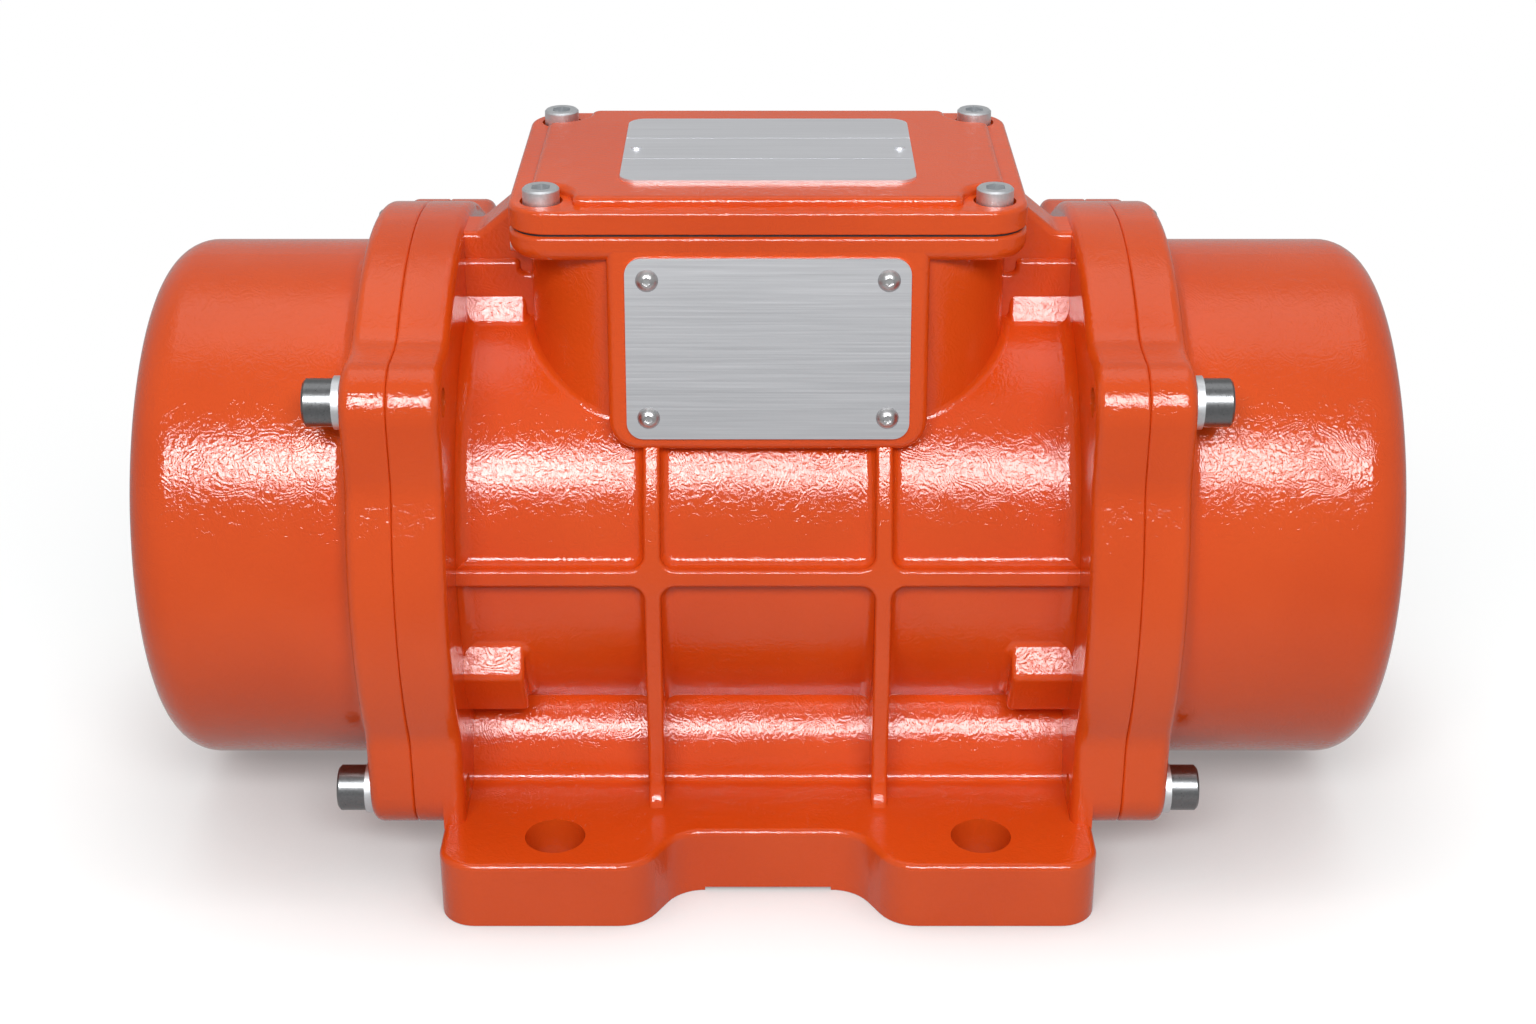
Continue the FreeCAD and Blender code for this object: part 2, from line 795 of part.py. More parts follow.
def carrier_boss():
    """Outside lug for the thread of the uppermost bearing carrier bolt at the right end."""
    half = boss_top_width / 2
    root = stator_r + bite
    spread = half + (boss_top_r - root) * math.tan(math.radians(boss_side_slope))
    outline = [
        (-spread, root, 0),
        (spread, root, 0),
        (half, boss_top_r, boss_corner_r),
        (-half, boss_top_r, boss_corner_r),
    ]
    start = barrel_half - boss_length
    boss = prism(outline, on_shaft_section(start), X_AXIS * (boss_length + bite))
    rim = [e for e in edges_at_x(boss, start) if e.BoundBox.ZMax > axis_height + root + near]
    return boss.makeFillet(boss_edge_r, rim)


def carrier_bosses():
    """The lugs on their stretch of barrel, with rounded roots."""
    start = barrel_half - boss_length - 2 * boss_root_r
    barrel = rod(start, barrel_half, barrel_r)
    lugs = [turn_about_shaft(carrier_boss(), angle - 90) for angle in carrier_bolt_angles]
    body = barrel.multiFuse(lugs).removeSplitter()
    roots = [e for e in body.Edges if lies_on_barrel(e) and start + near < e.BoundBox.Center.x]
    roots = [e for e in roots if e.BoundBox.Center.x < barrel_half - near]
    return both_ends(body.makeFillet(boss_root_r, roots))


def lies_on_barrel(edge):
    """True for an edge whose ends are on the barrel's wall."""
    return all(abs(r - barrel_r) < near for r in end_radii(edge))


def end_webs():
    """Webs that carry the end flanges' lobes straight down to the feet's ends."""
    half = cover_bolt_y + lobe_margin
    low = foot_thickness - 2 * foot_edge_r
    top = axis_height - cover_bolt_z + lobe_margin
    outline = [(-half, low, 0), (half, low, 0), (half, top, 0), (-half, top, 0)]
    web = prism(outline, on_section(barrel_half), X_AXIS * end_web_thickness)
    inner = [e for e in edges_at_x(web, barrel_half) if e.BoundBox.YLength < near]
    return both_ends(web.makeFillet(flange_edge_r, inner))


def top_webs():
    """Gussets from the end flanges up to the terminal box."""
    inner = neck_half_x - bite
    outer = barrel_half + bite
    low = axis_height + stator_r + bite
    end_top = axis_height + flange_r - top_web_drop
    outline = [
        (inner, low, 0),
        (outer, low, 0),
        (outer, end_top, 0),
        (barrel_half - top_web_flat, end_top, top_web_bend_r),
        (box_half_x, box_top - top_web_drop, 0),
        (inner, box_top - top_web_drop, 0),
    ]
    web = prism(outline, on_side(-top_web_half_y), Y_AXIS * (2 * top_web_half_y))
    crest = [e for e in web.Edges if is_crest_of_web(e, end_top)]
    return both_ends(web.makeFillet(top_web_edge_r, crest))


def is_crest_of_web(edge, end_top):
    """True for the long upper edges of a gusset, on its two sides."""
    box = edge.BoundBox
    return box.YLength < near and box.ZMin > end_top - near and box.XLength > near


def top_blocks():
    """Stepped blocks under the gussets, over the upper carrier bosses."""
    inner = neck_half_x - bite
    outer = barrel_half + bite
    low = axis_height + stator_r + bite
    high = axis_height + boss_top_r + top_block_rise
    step = barrel_half - boss_length + boss_edge_r
    outline = [
        (inner, low, 0),
        (outer, low, 0),
        (outer, high, 0),
        (step, high, top_block_edge_r),
        (step, high - top_block_step, top_block_edge_r),
        (inner, high - top_block_step, 0),
    ]
    block = prism(outline, on_side(-top_block_half_y), Y_AXIS * (2 * top_block_half_y))
    crest = [e for e in block.Edges if is_crest_of_web(e, high - top_block_step)]
    return both_ends(block.makeFillet(top_block_edge_r, crest))


def neck_and_box():
    """Neck of the terminal box on its stretch of barrel, and its lid flange."""
    neck = plate(neck_half_x, neck_half_y, neck_corner_r, axis_height + neck_foot, box_top - bite)
    half = neck_half_x + 2 * neck_root_r
    body = rod(-half, half, barrel_r).fuse(neck).removeSplitter()
    roots = [e for e in body.Edges if lies_on_barrel(e) and abs(e.BoundBox.Center.x) < half - near]
    body = body.makeFillet(neck_root_r, roots)
    underside = box_top - box_flange_thickness
    flange = plate(box_half_x, box_half_y, box_corner_r, underside, box_top)
    flange = flange.makeFillet(box_flange_underside_r, edges_at_level(flange, underside))
    return [body, flange.makeFillet(box_edge_r, edges_at_level(flange, box_top))]


def on_wall(offset):
    """Plane of the front wall, pushed out by offset: u is X and v runs down from its upper edge."""
    def place(u, v):
        y = -box_half_y - v * math.sin(wall_tilt) - offset * math.cos(wall_tilt)
        z = wall_top_z - v * math.cos(wall_tilt) + offset * math.sin(wall_tilt)
        return Vector(u, y, z)

    return place


def nameplate_wall():
    """Flat front wall under the box flange, leaning out to the barrel's ribs."""
    outline = [
        (-wall_half_x, -bite, 0),
        (-wall_half_x, wall_length, wall_corner_r),
        (wall_half_x, wall_length, wall_corner_r),
        (wall_half_x, -bite, 0),
    ]
    wall = prism(outline, on_wall(0), wall_outward * -wall_depth)
    front = [e for e in wall.Edges if all(stands_on_wall(v.Point) for v in e.Vertexes)]
    front = [e for e in front if e.BoundBox.ZMin < wall_top_z - near]
    return wall.makeFillet(wall_edge_r, front)


def stands_on_wall(point):
    return abs((point - on_wall(0)(0, 0)).dot(wall_outward)) < near


def terminal_chamber(bottom, top):
    return plate(chamber_half_x, chamber_half_y, chamber_corner_r, bottom, top)


def barrel_cavities():
    """Stator bore, seats of the bearing carriers, and the tapped holes in the end flanges."""
    reach = flange_face + cut_over
    cuts = [rod(-reach, reach, stator_r)]
    cuts += both_ends(rod(carrier_inner, reach, carrier_r + laid_gap))
    tap_r = m8_shank_r + thread_clearance
    for y, z in cover_bolt_places():
        cuts += both_ends(rod(barrel_half - cut_over, reach, tap_r, y, z))
    for y, z in carrier_bolt_places():
        cuts += both_ends(rod(carrier_inner - carrier_tap_depth, reach, tap_r, y, z))
    return cuts


def box_cavities():
    """Terminal chamber with its passages and tapped holes."""
    cuts = [terminal_chamber(chamber_floor, box_top + cut_over)]
    cuts.append(upright_rod(lead_hole_x, 0, axis_height, chamber_floor + cut_over, lead_hole_r))
    wall_bore = gland_thread_r + thread_clearance
    cuts.append(cross_rod(gland_start - cut_over, neck_half_y + cut_over, wall_bore))
    flange_low = box_top - box_flange_thickness - cut_over
    for x, y in lid_screw_places():
        cuts.append(upright_rod(x, y, flange_low, box_top + cut_over, m6_shank_r + thread_clearance))
    for x in block_screw_places():
        bottom = chamber_floor - block_tap_depth
        cuts.append(upright_rod(x, 0, bottom, chamber_floor + cut_over, m3_shank_r + thread_clearance))
    for x, v in nameplate_screw_places():
        cuts.append(wall_pin(x, v, nameplate_tap_depth, nameplate_pin_r + thread_clearance))
    face = Vector(-neck_half_x - cut_over, earth_screw_y, box_top - earth_screw_drop)
    depth = earth_thread_depth + earth_tap_margin + cut_over
    cuts.append(Part.makeCylinder(earth_thread_r + thread_clearance, depth, face, X_AXIS))
    return cuts


def wall_pin(x, v, depth, radius):
    """Cylinder square to the front wall, from just outside it to a depth behind it."""
    return Part.makeCylinder(radius, depth + 2 * cut_over, on_wall(2 * cut_over)(x, v), wall_outward * -1)


def stator_housing():
    """The one-piece casting: barrel, ribs, cradle, feet, end flanges and terminal box."""
    pieces = [ribbed_barrel(), saddle(), nameplate_wall()]
    pieces += both_ends(housing_flange()) + both_ends(barrel_root())
    pieces += upright_ribs() + carrier_bosses() + end_webs()
    pieces += top_webs() + top_blocks() + neck_and_box()
    casting = pieces[0].multiFuse(pieces[1:])
    return casting.cut(barrel_cavities() + box_cavities()).removeSplitter()


# ---------------------------------------------------------------- end covers
def end_cover():
    """Deep round cover over the weights, with a flange that matches the housing's."""
    flange = flange_outline(flange_face, cover_face)
    flange = flange.makeFillet(cover_edge_r, rim_edges(flange, cover_face))
    flange = flange.makeFillet(parting_edge_r, rim_edges(flange, flange_face))
    start = flange_face + 2 * bite
    dome = [(start, 0, 0), (start, dome_r, 0), (dome_end_x, dome_r, dome_edge_r), (dome_end_x, 0, 0)]
    body = flange.multiFuse([rounded_turn(dome), dome_root()])
    groove_end = flange_face + o_ring_depth
    cuts = [dome_inside(), tube(flange_face - cut_over, groove_end, o_ring_inner_r, o_ring_outer_r)]
    for y, z in cover_bolt_places():
        hole_r = m8_shank_r + hole_clearance
        cuts.append(rod(flange_face - cut_over, cover_face + cut_over, hole_r, y, z))
    return body.cut(cuts).removeSplitter()


def dome_root():
    """Ring that rounds the corner between the dome and its flange."""
    r = dome_root_r
    outline = [
        (cover_face - bite, dome_r - bite, 0),
        (cover_face - bite, dome_r + r, 0),
        (cover_face, dome_r + r, 0),
        (cover_face, dome_r, r),
        (cover_face + r, dome_r, 0),
        (cover_face + r, dome_r - bite, 0),
    ]
    return rounded_turn(outline)


def dome_inside():
    start = flange_face - cut_over
    end = dome_end_x - dome_wall
    r = dome_r - dome_wall
    return rounded_turn([(start, 0, 0), (start, r, 0), (end, r, dome_edge_r - dome_wall), (end, 0, 0)])


def cover_o_ring():
    gap = o_ring_gap
    end = flange_face + o_ring_depth
    return tube(flange_face + gap, end - gap, o_ring_inner_r + gap, o_ring_outer_r - gap)


def cover_bolts():
    seat = cover_face + spring_washer_thickness
    screw = m8_screw(seat - barrel_half - cover_bolt_tip)
    bolts = []
    for y, z in cover_bolt_places():
        bolts += both_ends(placed(screw, Vector(seat, y, axis_height + z), X_AXIS))
    return group(bolts)


def cover_spring_washers():
    """Split rings under the heads of the cover bolts."""
    end = cover_face + spring_washer_thickness
    half_slit = spring_washer_slit / 2
    ring = tube(cover_face, end, m8_shank_r + spring_washer_play, spring_washer_r)
    corner = Vector(cover_face - cut_over, 0, axis_height - half_slit)
    length = spring_washer_thickness + 2 * cut_over
    ring = ring.cut(Part.makeBox(length, spring_washer_r + cut_over, spring_washer_slit, corner))
    washers = []
    for y, z in cover_bolt_places():
        washers += both_ends(ring.translated(Vector(0, y, z)))
    return group(washers)


# ---------------------------------------------------------------- bearings and their carriers
def bearing_carrier():
    """Cast iron disc that closes the barrel's end and holds the bearing."""
    spigot = carrier_inner - carrier_spigot
    seal_bore = shaft_mid_r + carrier_seal_gap
    hub_inner = bearing_inner - carrier_lip
    seat_r = bearing_outer_r + fit_gap
    face = flange_face - laid_gap
    profile = [
        (hub_inner, seal_bore),
        (hub_inner, carrier_hub_r),
        (spigot, carrier_hub_r),
        (spigot, stator_r - laid_gap),
        (carrier_inner, stator_r - laid_gap),
        (carrier_inner, carrier_r),
        (face, carrier_r),
        (face, carrier_hub_r + carrier_hub_slope),
        (bearing_outer_x, carrier_hub_r),
        (bearing_outer_x, seat_r),
        (bearing_inner, seat_r),
        (bearing_inner, seal_bore),
    ]
    cuts = []
    for y, z in carrier_bolt_places():
        hole_r = m8_shank_r + hole_clearance
        cuts.append(rod(carrier_inner - cut_over, flange_face + cut_over, hole_r, y, z))
    for y, z in cap_screw_places():
        tap_r = m5_shank_r + thread_clearance
        cuts.append(rod(bearing_outer_x - cap_tap_depth, bearing_outer_x + cut_over, tap_r, y, z))
    return turned(profile).cut(cuts)


def bearing_carrier_bolts():
    screw = m8_screw(carrier_disc + carrier_tap_depth - carrier_bolt_tip)
    bolts = []
    for y, z in carrier_bolt_places():
        seat = Vector(flange_face - laid_gap, y, axis_height + z)
        bolts += both_ends(placed(screw, seat, X_AXIS))
    return group(bolts)


def bearing_outer_ring():
    """Outer ring with a lip at each side of the rollers."""
    x0, x1 = bearing_inner, bearing_outer_x
    lip = outer_race_r - race_lip_height
    profile = [
        (x0, lip),
        (x0 + race_lip, lip),
        (x0 + race_lip, outer_race_r),
        (x1 - race_lip, outer_race_r),
        (x1 - race_lip, lip),
        (x1, lip),
        (x1, bearing_outer_r),
        (x0, bearing_outer_r),
    ]
    return turned(profile)


def bearing_inner_ring():
    """Inner ring with one lip, towards the motor's middle."""
    x0, x1 = bearing_inner, bearing_outer_x
    bore = bearing_bore_r + fit_gap
    lip = inner_race_r + race_lip_height
    profile = [
        (x0, bore),
        (x1, bore),
        (x1, inner_race_r),
        (x0 + race_lip, inner_race_r),
        (x0 + race_lip, lip),
        (x0, lip),
    ]
    return turned(profile)


def roller_places():
    return [polar(roller_pitch_r, k * 360.0 / roller_count) for k in range(roller_count)]


def bearing_rollers():
    half = roller_length / 2
    ends = (bearing_middle - half, bearing_middle + half)
    return group([rod(*ends, roller_r, y, z) for y, z in roller_places()])


def bearing_cage():
    """Machined cage with a pocket for each roller."""
    half = roller_length / 2 + cage_bar
    inner_r = roller_pitch_r - cage_half_thickness
    outer_r = roller_pitch_r + cage_half_thickness
    body = tube(bearing_middle - half, bearing_middle + half, inner_r, outer_r)
    pocket = roller_length / 2 + cage_pocket_play
    ends = (bearing_middle - pocket, bearing_middle + pocket)
    return body.cut([rod(*ends, roller_r + cage_pocket_play, y, z) for y, z in roller_places()])


def bearing_cap():
    """Ring that holds the bearing in its carrier, with a labyrinth gap round the spacer sleeve."""
    end = bearing_outer_x + cap_thickness
    body = tube(bearing_outer_x, end, sleeve_r + cap_bore_clearance, carrier_hub_r)
    hole_r = m5_shank_r + cap_hole_clearance
    ends = (bearing_outer_x - cut_over, end + cut_over)
    return body.cut([rod(*ends, hole_r, y, z) for y, z in cap_screw_places()])


def bearing_cap_screws():
    screw = m5_screw(cap_thickness + cap_screw_grip)
    screws = []
    for y, z in cap_screw_places():
        seat = Vector(bearing_outer_x + cap_thickness, y, axis_height + z)
        screws += both_ends(placed(screw, seat, X_AXIS))
    return group(screws)


# ---------------------------------------------------------------- rotor
def rotor_shaft():
    """Stepped shaft with a keyway and a circlip groove at each end."""
    groove_end = circlip_start + circlip_thickness
    groove_r = bearing_bore_r - circlip_groove
    profile = [
        (0, 0),
        (0, shaft_mid_r),
        (bearing_inner, shaft_mid_r),
        (bearing_inner, bearing_bore_r),
        (circlip_start, bearing_bore_r),
        (circlip_start, groove_r),
        (groove_end, groove_r),
        (groove_end, bearing_bore_r),
        (shaft_end_x - shaft_chamfer, bearing_bore_r),
        (shaft_end_x, bearing_bore_r - shaft_chamfer),
        (shaft_end_x, 0),
    ]
    end = turned(profile)
    shaft = end.fuse(mirrored(end)).removeSplitter()
    return shaft.cut(both_ends(key_block(thread_clearance)))


def key_block(play):
    """Key in the fixed weight, on top of the shaft, grown by play for its seat."""
    length = weight_thickness - 2 * key_end_gap
    bottom = axis_height + bearing_bore_r - key_drop
    corner = Vector(weight_start + key_end_gap, -key_width / 2, bottom) - Vector(play, play, play)
    return Part.makeBox(length + 2 * play, key_width + 2 * play, key_height + 2 * play, corner)


def weight_keys():
    return group(both_ends(key_block(0)))


def rotor_core():
    return tube(-core_half, core_half, shaft_mid_r + fit_gap, rotor_r)


def rotor_end_rings():
    """Cast aluminium end rings of the squirrel cage, with balancing lugs."""
    ring_end = core_half + rotor_ring_length
    bore = shaft_mid_r + rotor_ring_step
    ring = tube(core_half, ring_end, bore, rotor_r - rotor_ring_inset)
    lug = rod(ring_end - bite, ring_end + rotor_lug_length, rotor_lug_r, 0, (bore + rotor_r) / 2)
    lugs = [turn_about_shaft(lug, 360 / rotor_lug_count * k) for k in range(rotor_lug_count)]
    return group(both_ends(ring.multiFuse(lugs)))


def spacer_sleeve():
    return tube(bearing_outer_x, weight_start, bearing_bore_r + fit_gap, sleeve_r)


# ---------------------------------------------------------------- eccentric weights
def weight_sector(x0, x1):
    """Heavy sector hanging below the shaft, with a hub round the shaft."""
    blank = rod(x0, x1, weight_r)
    far = 2 * weight_r
    y, z = polar(far, weight_half_angle - 90)
    wedge = [(0, 0, 0), (y, z, 0), (far, far, 0), (-far, far, 0), (-y, z, 0)]
    upper = prism(wedge, on_shaft_section(x0 - cut_over), X_AXIS * (x1 - x0 + 2 * cut_over))
    return blank.cut(upper).fuse(rod(x0, x1, weight_hub_r)).removeSplitter()


def fixed_weight():
    body = weight_sector(weight_start, disc_start)
    bore = rod(weight_start - cut_over, disc_start + cut_over, bearing_bore_r + fit_gap)
    return body.cut([bore, key_block(thread_clearance)])


def setting_disc():
    """Thin disc with notches in its upper edge, for reading the weight setting."""
    body = tube(disc_start, setting_start, bearing_bore_r + fit_gap, disc_r)
    corner = Vector(disc_start - cut_over, -disc_notch_width / 2, axis_height + disc_r - disc_notch_depth)
    length = disc_thickness + 2 * cut_over
    notch = Part.makeBox(length, disc_notch_width, disc_notch_depth + cut_over, corner)
    steps = range(-disc_notch_side, disc_notch_side + 1)
    return body.cut([turn_about_shaft(notch, disc_notch_step * k) for k in steps])


def adjustable_weight():
    """Same sector as the fixed weight, with a split hub that a bolt clamps on the shaft."""
    x0 = setting_start + weight_end_gap
    x1 = washer_start - weight_end_gap
    ear_foot = bearing_bore_r - running_gap - bite
    corner = Vector(x0, -clamp_ear_half, axis_height + ear_foot)
    ears = Part.makeBox(x1 - x0, 2 * clamp_ear_half, clamp_ear_r - ear_foot, corner)
    body = weight_sector(x0, x1).fuse(ears).removeSplitter()
    bore = rod(x0 - cut_over, x1 + cut_over, bearing_bore_r + running_gap)
    corner = Vector(x0 - cut_over, -clamp_slit / 2, axis_height + cut_over)
    slit = Part.makeBox(x1 - x0 + 2 * cut_over, clamp_slit, clamp_ear_r, corner)
    start = Vector((x0 + x1) / 2, -clamp_ear_half - cut_over, axis_height + clamp_bolt_r)
    hole_r = m8_shank_r + thread_clearance
    hole = Part.makeCylinder(hole_r, 2 * clamp_ear_half + 2 * cut_over, start, Y_AXIS)
    return body.cut([bore, slit, hole])


def clamp_bolt():
    middle = (setting_start + washer_start) / 2
    screw = m8_screw(2 * clamp_ear_half - clamp_bolt_tip)
    return placed(screw, Vector(middle, clamp_ear_half, axis_height + clamp_bolt_r), Y_AXIS)


def thrust_washers():
    return group(both_ends(tube(washer_start, circlip_start, bearing_bore_r + fit_gap, washer_r)))


def circlips():
    """Open rings in the shaft's end grooves."""
    end = circlip_start + circlip_thickness - running_gap
    ring = tube(circlip_start, end, bearing_bore_r - circlip_groove + fit_gap, circlip_r)
    corner = Vector(circlip_start - cut_over, -circlip_mouth / 2, axis_height)
    mouth = Part.makeBox(circlip_thickness + 2 * cut_over, circlip_mouth, circlip_r + cut_over, corner)
    return group(both_ends(ring.cut(mouth)))


# ---------------------------------------------------------------- stator
def slot_outline(shrink):
    """One tapered slot of the stator core, pointing up; shrink is the room round a coil side."""
    top = rotor_r + air_gap + slot_lip
    half = slot_width / 2 - shrink
    spread = half * slot_taper
    floor = top + slot_depth - shrink
    top += shrink
    return [(-half, top, 0), (half, top, 0), (spread, floor, 0), (-spread, floor, 0)]


def slot_angles():
    return [360.0 * k / slot_count for k in range(slot_count)]


def stator_core():
    """Lamination stack with open-mouthed slots all round the bore."""
    inner = rotor_r + air_gap
    body = tube(-core_half, core_half, inner, stator_r - fit_gap)
    start = -core_half - cut_over
    length = 2 * core_half + 2 * cut_over
    slot = prism(slot_outline(0), on_shaft_section(start), X_AXIS * length)
    corner = Vector(start, -slot_mouth / 2, axis_height + inner - cut_over)
    mouth = Part.makeBox(length, slot_mouth, slot_lip + 2 * cut_over, corner)
    tools = []
    for angle in slot_angles():
        tools += [turn_about_shaft(slot, angle), turn_about_shaft(mouth, angle)]
    return body.cut(tools)


def stator_winding():
    """Coil sides in the slots, joined by the taped end turns."""
    x0 = core_half + end_turn_gap
    x1 = core_half + end_turn_length
    turn = [
        (x0, end_turn_inner_r, 0),
        (x0, end_turn_outer_r, 0),
        (x1, end_turn_outer_r, end_turn_edge_r),
        (x1, end_turn_inner_r, end_turn_edge_r),
    ]
    ends = both_ends(rounded_turn(turn))
    half = x0 + bite
    bar = prism(slot_outline(slot_liner), on_shaft_section(-half), X_AXIS * (2 * half))
    bars = [turn_about_shaft(bar, angle) for angle in slot_angles()]
    return ends[0].multiFuse(ends[1:] + bars).removeSplitter()


# ---------------------------------------------------------------- terminal box contents
def terminal_block():
    """Moulded block with barrier walls between its three stud pairs."""
    body = plate(block_half_x, block_half_y, block_corner_r, chamber_floor, block_top)
    depth = block_half_y + stud_row_y - link_half_y - barrier_thickness / 2
    foot = block_top - bite
    barriers = []
    for x in (-stud_pitch_x / 2, stud_pitch_x / 2):
        corner = Vector(x - barrier_thickness / 2, -block_half_y, foot)
        barriers.append(Part.makeBox(barrier_thickness, depth, block_barrier + bite, corner))
    body = body.multiFuse(barriers).removeSplitter()
    top = block_top + cut_over
    cuts = []
    for x, y in stud_places():
        cuts.append(upright_rod(x, y, chamber_floor + stud_seat, top, stud_r + fit_gap))
    for x in block_screw_places():
        hole_r = m3_shank_r + block_hole_clearance
        cuts.append(upright_rod(x, 0, chamber_floor - cut_over, top, hole_r))
    return body.cut(cuts)


def terminal_block_screws():
    screw = m3_screw(block_height + block_screw_grip)
    return group([placed(screw, Vector(x, 0, block_top), Z_AXIS) for x in block_screw_places()])


def terminal_studs():
    """Brass studs, each with the nut that clamps a lead's eye on the block."""
    bottom = chamber_floor + stud_seat + fit_gap
    studs = []
    for x, y in stud_places():
        stud = upright_rod(x, y, bottom, block_top + stud_height, stud_r)
        layers = 2 if y > 0 else 1
        nut = hexagon(nut_flats, on_plan(block_top + eye_thickness * layers), Z_AXIS * nut_height)
        studs.append(stud.fuse(nut.translated(Vector(x, y, 0))).removeSplitter())
    return group(studs)


def bent_wire(points, radius):
    """Round wire through points, with a ball at each bend and at its far end."""
    pieces = [Part.makeSphere(radius, corner) for corner in points[1:]]
    for a, b in zip(points, points[1:]):
        pieces.append(Part.makeCylinder(radius, (b - a).Length, a, b - a))
    return pieces


def winding_leads():
    """Six leads from the end turns, up through the floor hole, each ending in an eye on its stud."""
    leads = []
    for row, stud_x in enumerate((stud_pitch_x, 0, -stud_pitch_x)):
        for side in (-1, 1):
            leads.append(winding_lead(row, stud_x, side))
    return group(leads)


def winding_lead(row, stud_x, side):
    """Lead that drops beside the nut of one stud; side is -1 for the front row of studs."""
    reach = nut_flats / math.sqrt(3) + lead_r + lead_gap
    start_z = axis_height + end_turn_outer_r + 2 * fit_gap
    level = block_top + block_barrier + 2 * lead_r + row * lead_rise
    x = lead_hole_x + (row - 1) * lead_pitch
    y = side * lead_spread
    drop_y = side * (stud_row_y + reach)
    tip_z = block_top + lead_r + fit_gap
    route = [Vector(x, y, start_z), Vector(x, y, level)]
    route += [Vector(stud_x, drop_y, level), Vector(stud_x, drop_y, tip_z)]
    stud_y = side * stud_row_y
    eye = upright_rod(stud_x, stud_y, block_top, block_top + eye_thickness, eye_r)
    corner = Vector(stud_x - lead_r, min(stud_y, drop_y), block_top)
    tongue = Part.makeBox(2 * lead_r, reach, eye_thickness, corner)
    bore = upright_rod(stud_x, stud_y, block_top - cut_over, level, stud_r + fit_gap)
    return eye.multiFuse(bent_wire(route, lead_r) + [tongue]).cut(bore).removeSplitter()


def star_link():
    """Brass strip that joins the three studs of the rear row."""
    bottom = block_top + eye_thickness
    half = stud_pitch_x + link_half_y
    corner = Vector(-half, stud_row_y - link_half_y, bottom)
    body = Part.makeBox(2 * half, 2 * link_half_y, eye_thickness, corner)
    ends = (bottom - cut_over, bottom + eye_thickness + cut_over)
    rear = [(x, y) for x, y in stud_places() if y > 0]
    return body.cut([upright_rod(x, y, *ends, stud_r + fit_gap) for x, y in rear])


# ---------------------------------------------------------------- lid
def terminal_box_lid():
    """Flat lid with a raised field that stands clear of the corner screws."""
    body = plate(box_half_x, box_half_y, box_corner_r, lid_bottom, lid_top)
    body = body.makeFillet(box_edge_r, edges_at_level(body, lid_top))
    body = body.makeFillet(lid_underside_r, edges_at_level(body, lid_bottom))
    body = body.fuse(lid_field())
    pocket_x = chamber_half_x - lid_pocket_gap
    pocket_y = chamber_half_y - lid_pocket_gap
    pocket_r = chamber_corner_r - lid_pocket_gap
    cuts = [plate(pocket_x, pocket_y, pocket_r, lid_bottom - cut_over, lid_bottom + lid_pocket_depth)]
    spot = lid_top - lid_spot_depth
    for x, y in lid_screw_places():
        hole_r = m6_shank_r + lid_hole_clearance
        cuts.append(upright_rod(x, y, lid_bottom - cut_over, lid_top, hole_r))
        cuts.append(upright_rod(x, y, spot, lid_raised_top + cut_over, lid_spot_r))
    hole_bottom = lid_raised_top - lid_rivet_hole_depth
    for x in (-lid_rivet_x, lid_rivet_x):
        hole_r = lid_rivet_pin_r + thread_clearance
        cuts.append(upright_rod(x, 0, hole_bottom, lid_raised_top + cut_over, hole_r))
    return body.cut(cuts).removeSplitter()


def lid_field():
    """Raised field of the lid: a soft-edged rectangle whose corners are scalloped round the screws."""
    hx = lid_field_half_x
    hy = lid_field_half_y
    cut = lid_field_cut
    r = lid_field_corner_r
    corner = [(hx, hy - cut, r), (hx - cut, hy - cut, lid_field_scallop_r), (hx - cut, hy, r)]
    outline = corner + [(-u, v, r) for u, v, r in reversed(corner)]
    outline += [(-u, -v, r) for u, v, r in corner]
    outline += [(u, -v, r) for u, v, r in reversed(corner)]
    bottom = lid_bottom + lid_pocket_depth + bite
    field = prism(outline, on_plan(bottom), Z_AXIS * (lid_raised_top - bottom))
    return field.makeFillet(lid_field_edge_r, edges_at_level(field, lid_raised_top))


def lid_gasket():
    """Flat ring of rubber between the box flange and the lid."""
    half_x = box_half_x - gasket_inset
    half_y = box_half_y - gasket_inset
    outer = plate(half_x, half_y, box_corner_r - gasket_inset, box_top, lid_bottom)
    ends = (box_top - cut_over, lid_bottom + cut_over)
    hole_r = m6_shank_r + lid_hole_clearance
    holes = [upright_rod(x, y, *ends, hole_r) for x, y in lid_screw_places()]
    return outer.cut([terminal_chamber(*ends)] + holes)


def lid_screws():
    seat = lid_top - lid_spot_depth
    screw = m6_screw(seat - box_top + box_flange_thickness)
    return group([placed(screw, Vector(x, y, seat), Z_AXIS) for x, y in lid_screw_places()])


def lid_plate():
    """Bare metal plate on the lid, scored into three bands."""
    body = plate(lid_plate_half_x, lid_plate_half_y, lid_plate_r, lid_raised_top, lid_plate_top)
    cuts = []
    for x in (-lid_rivet_x, lid_rivet_x):
        hole_r = lid_rivet_pin_r + thread_clearance
        cuts.append(upright_rod(x, 0, lid_raised_top - cut_over, lid_plate_top + cut_over, hole_r))
    length = 2 * lid_plate_half_x + 2 * cut_over
    for y in (-lid_plate_half_y / 3, lid_plate_half_y / 3):
        corner = Vector(-length / 2, y - lid_plate_score_width / 2, lid_plate_top - lid_plate_score_depth)
        cuts.append(Part.makeBox(length, lid_plate_score_width, lid_plate_score_depth + cut_over, corner))
    return body.cut(cuts)


def lid_plate_rivets():
    rivets = []
    for x in (-lid_rivet_x, lid_rivet_x):
        head = upright_rod(x, 0, lid_plate_top, lid_plate_top + lid_rivet_height, lid_rivet_r)
        pin = upright_rod(x, 0, lid_raised_top - lid_rivet_pin_length, lid_plate_top, lid_rivet_pin_r)
        rivets.append(head.fuse(pin))
    return group(rivets)


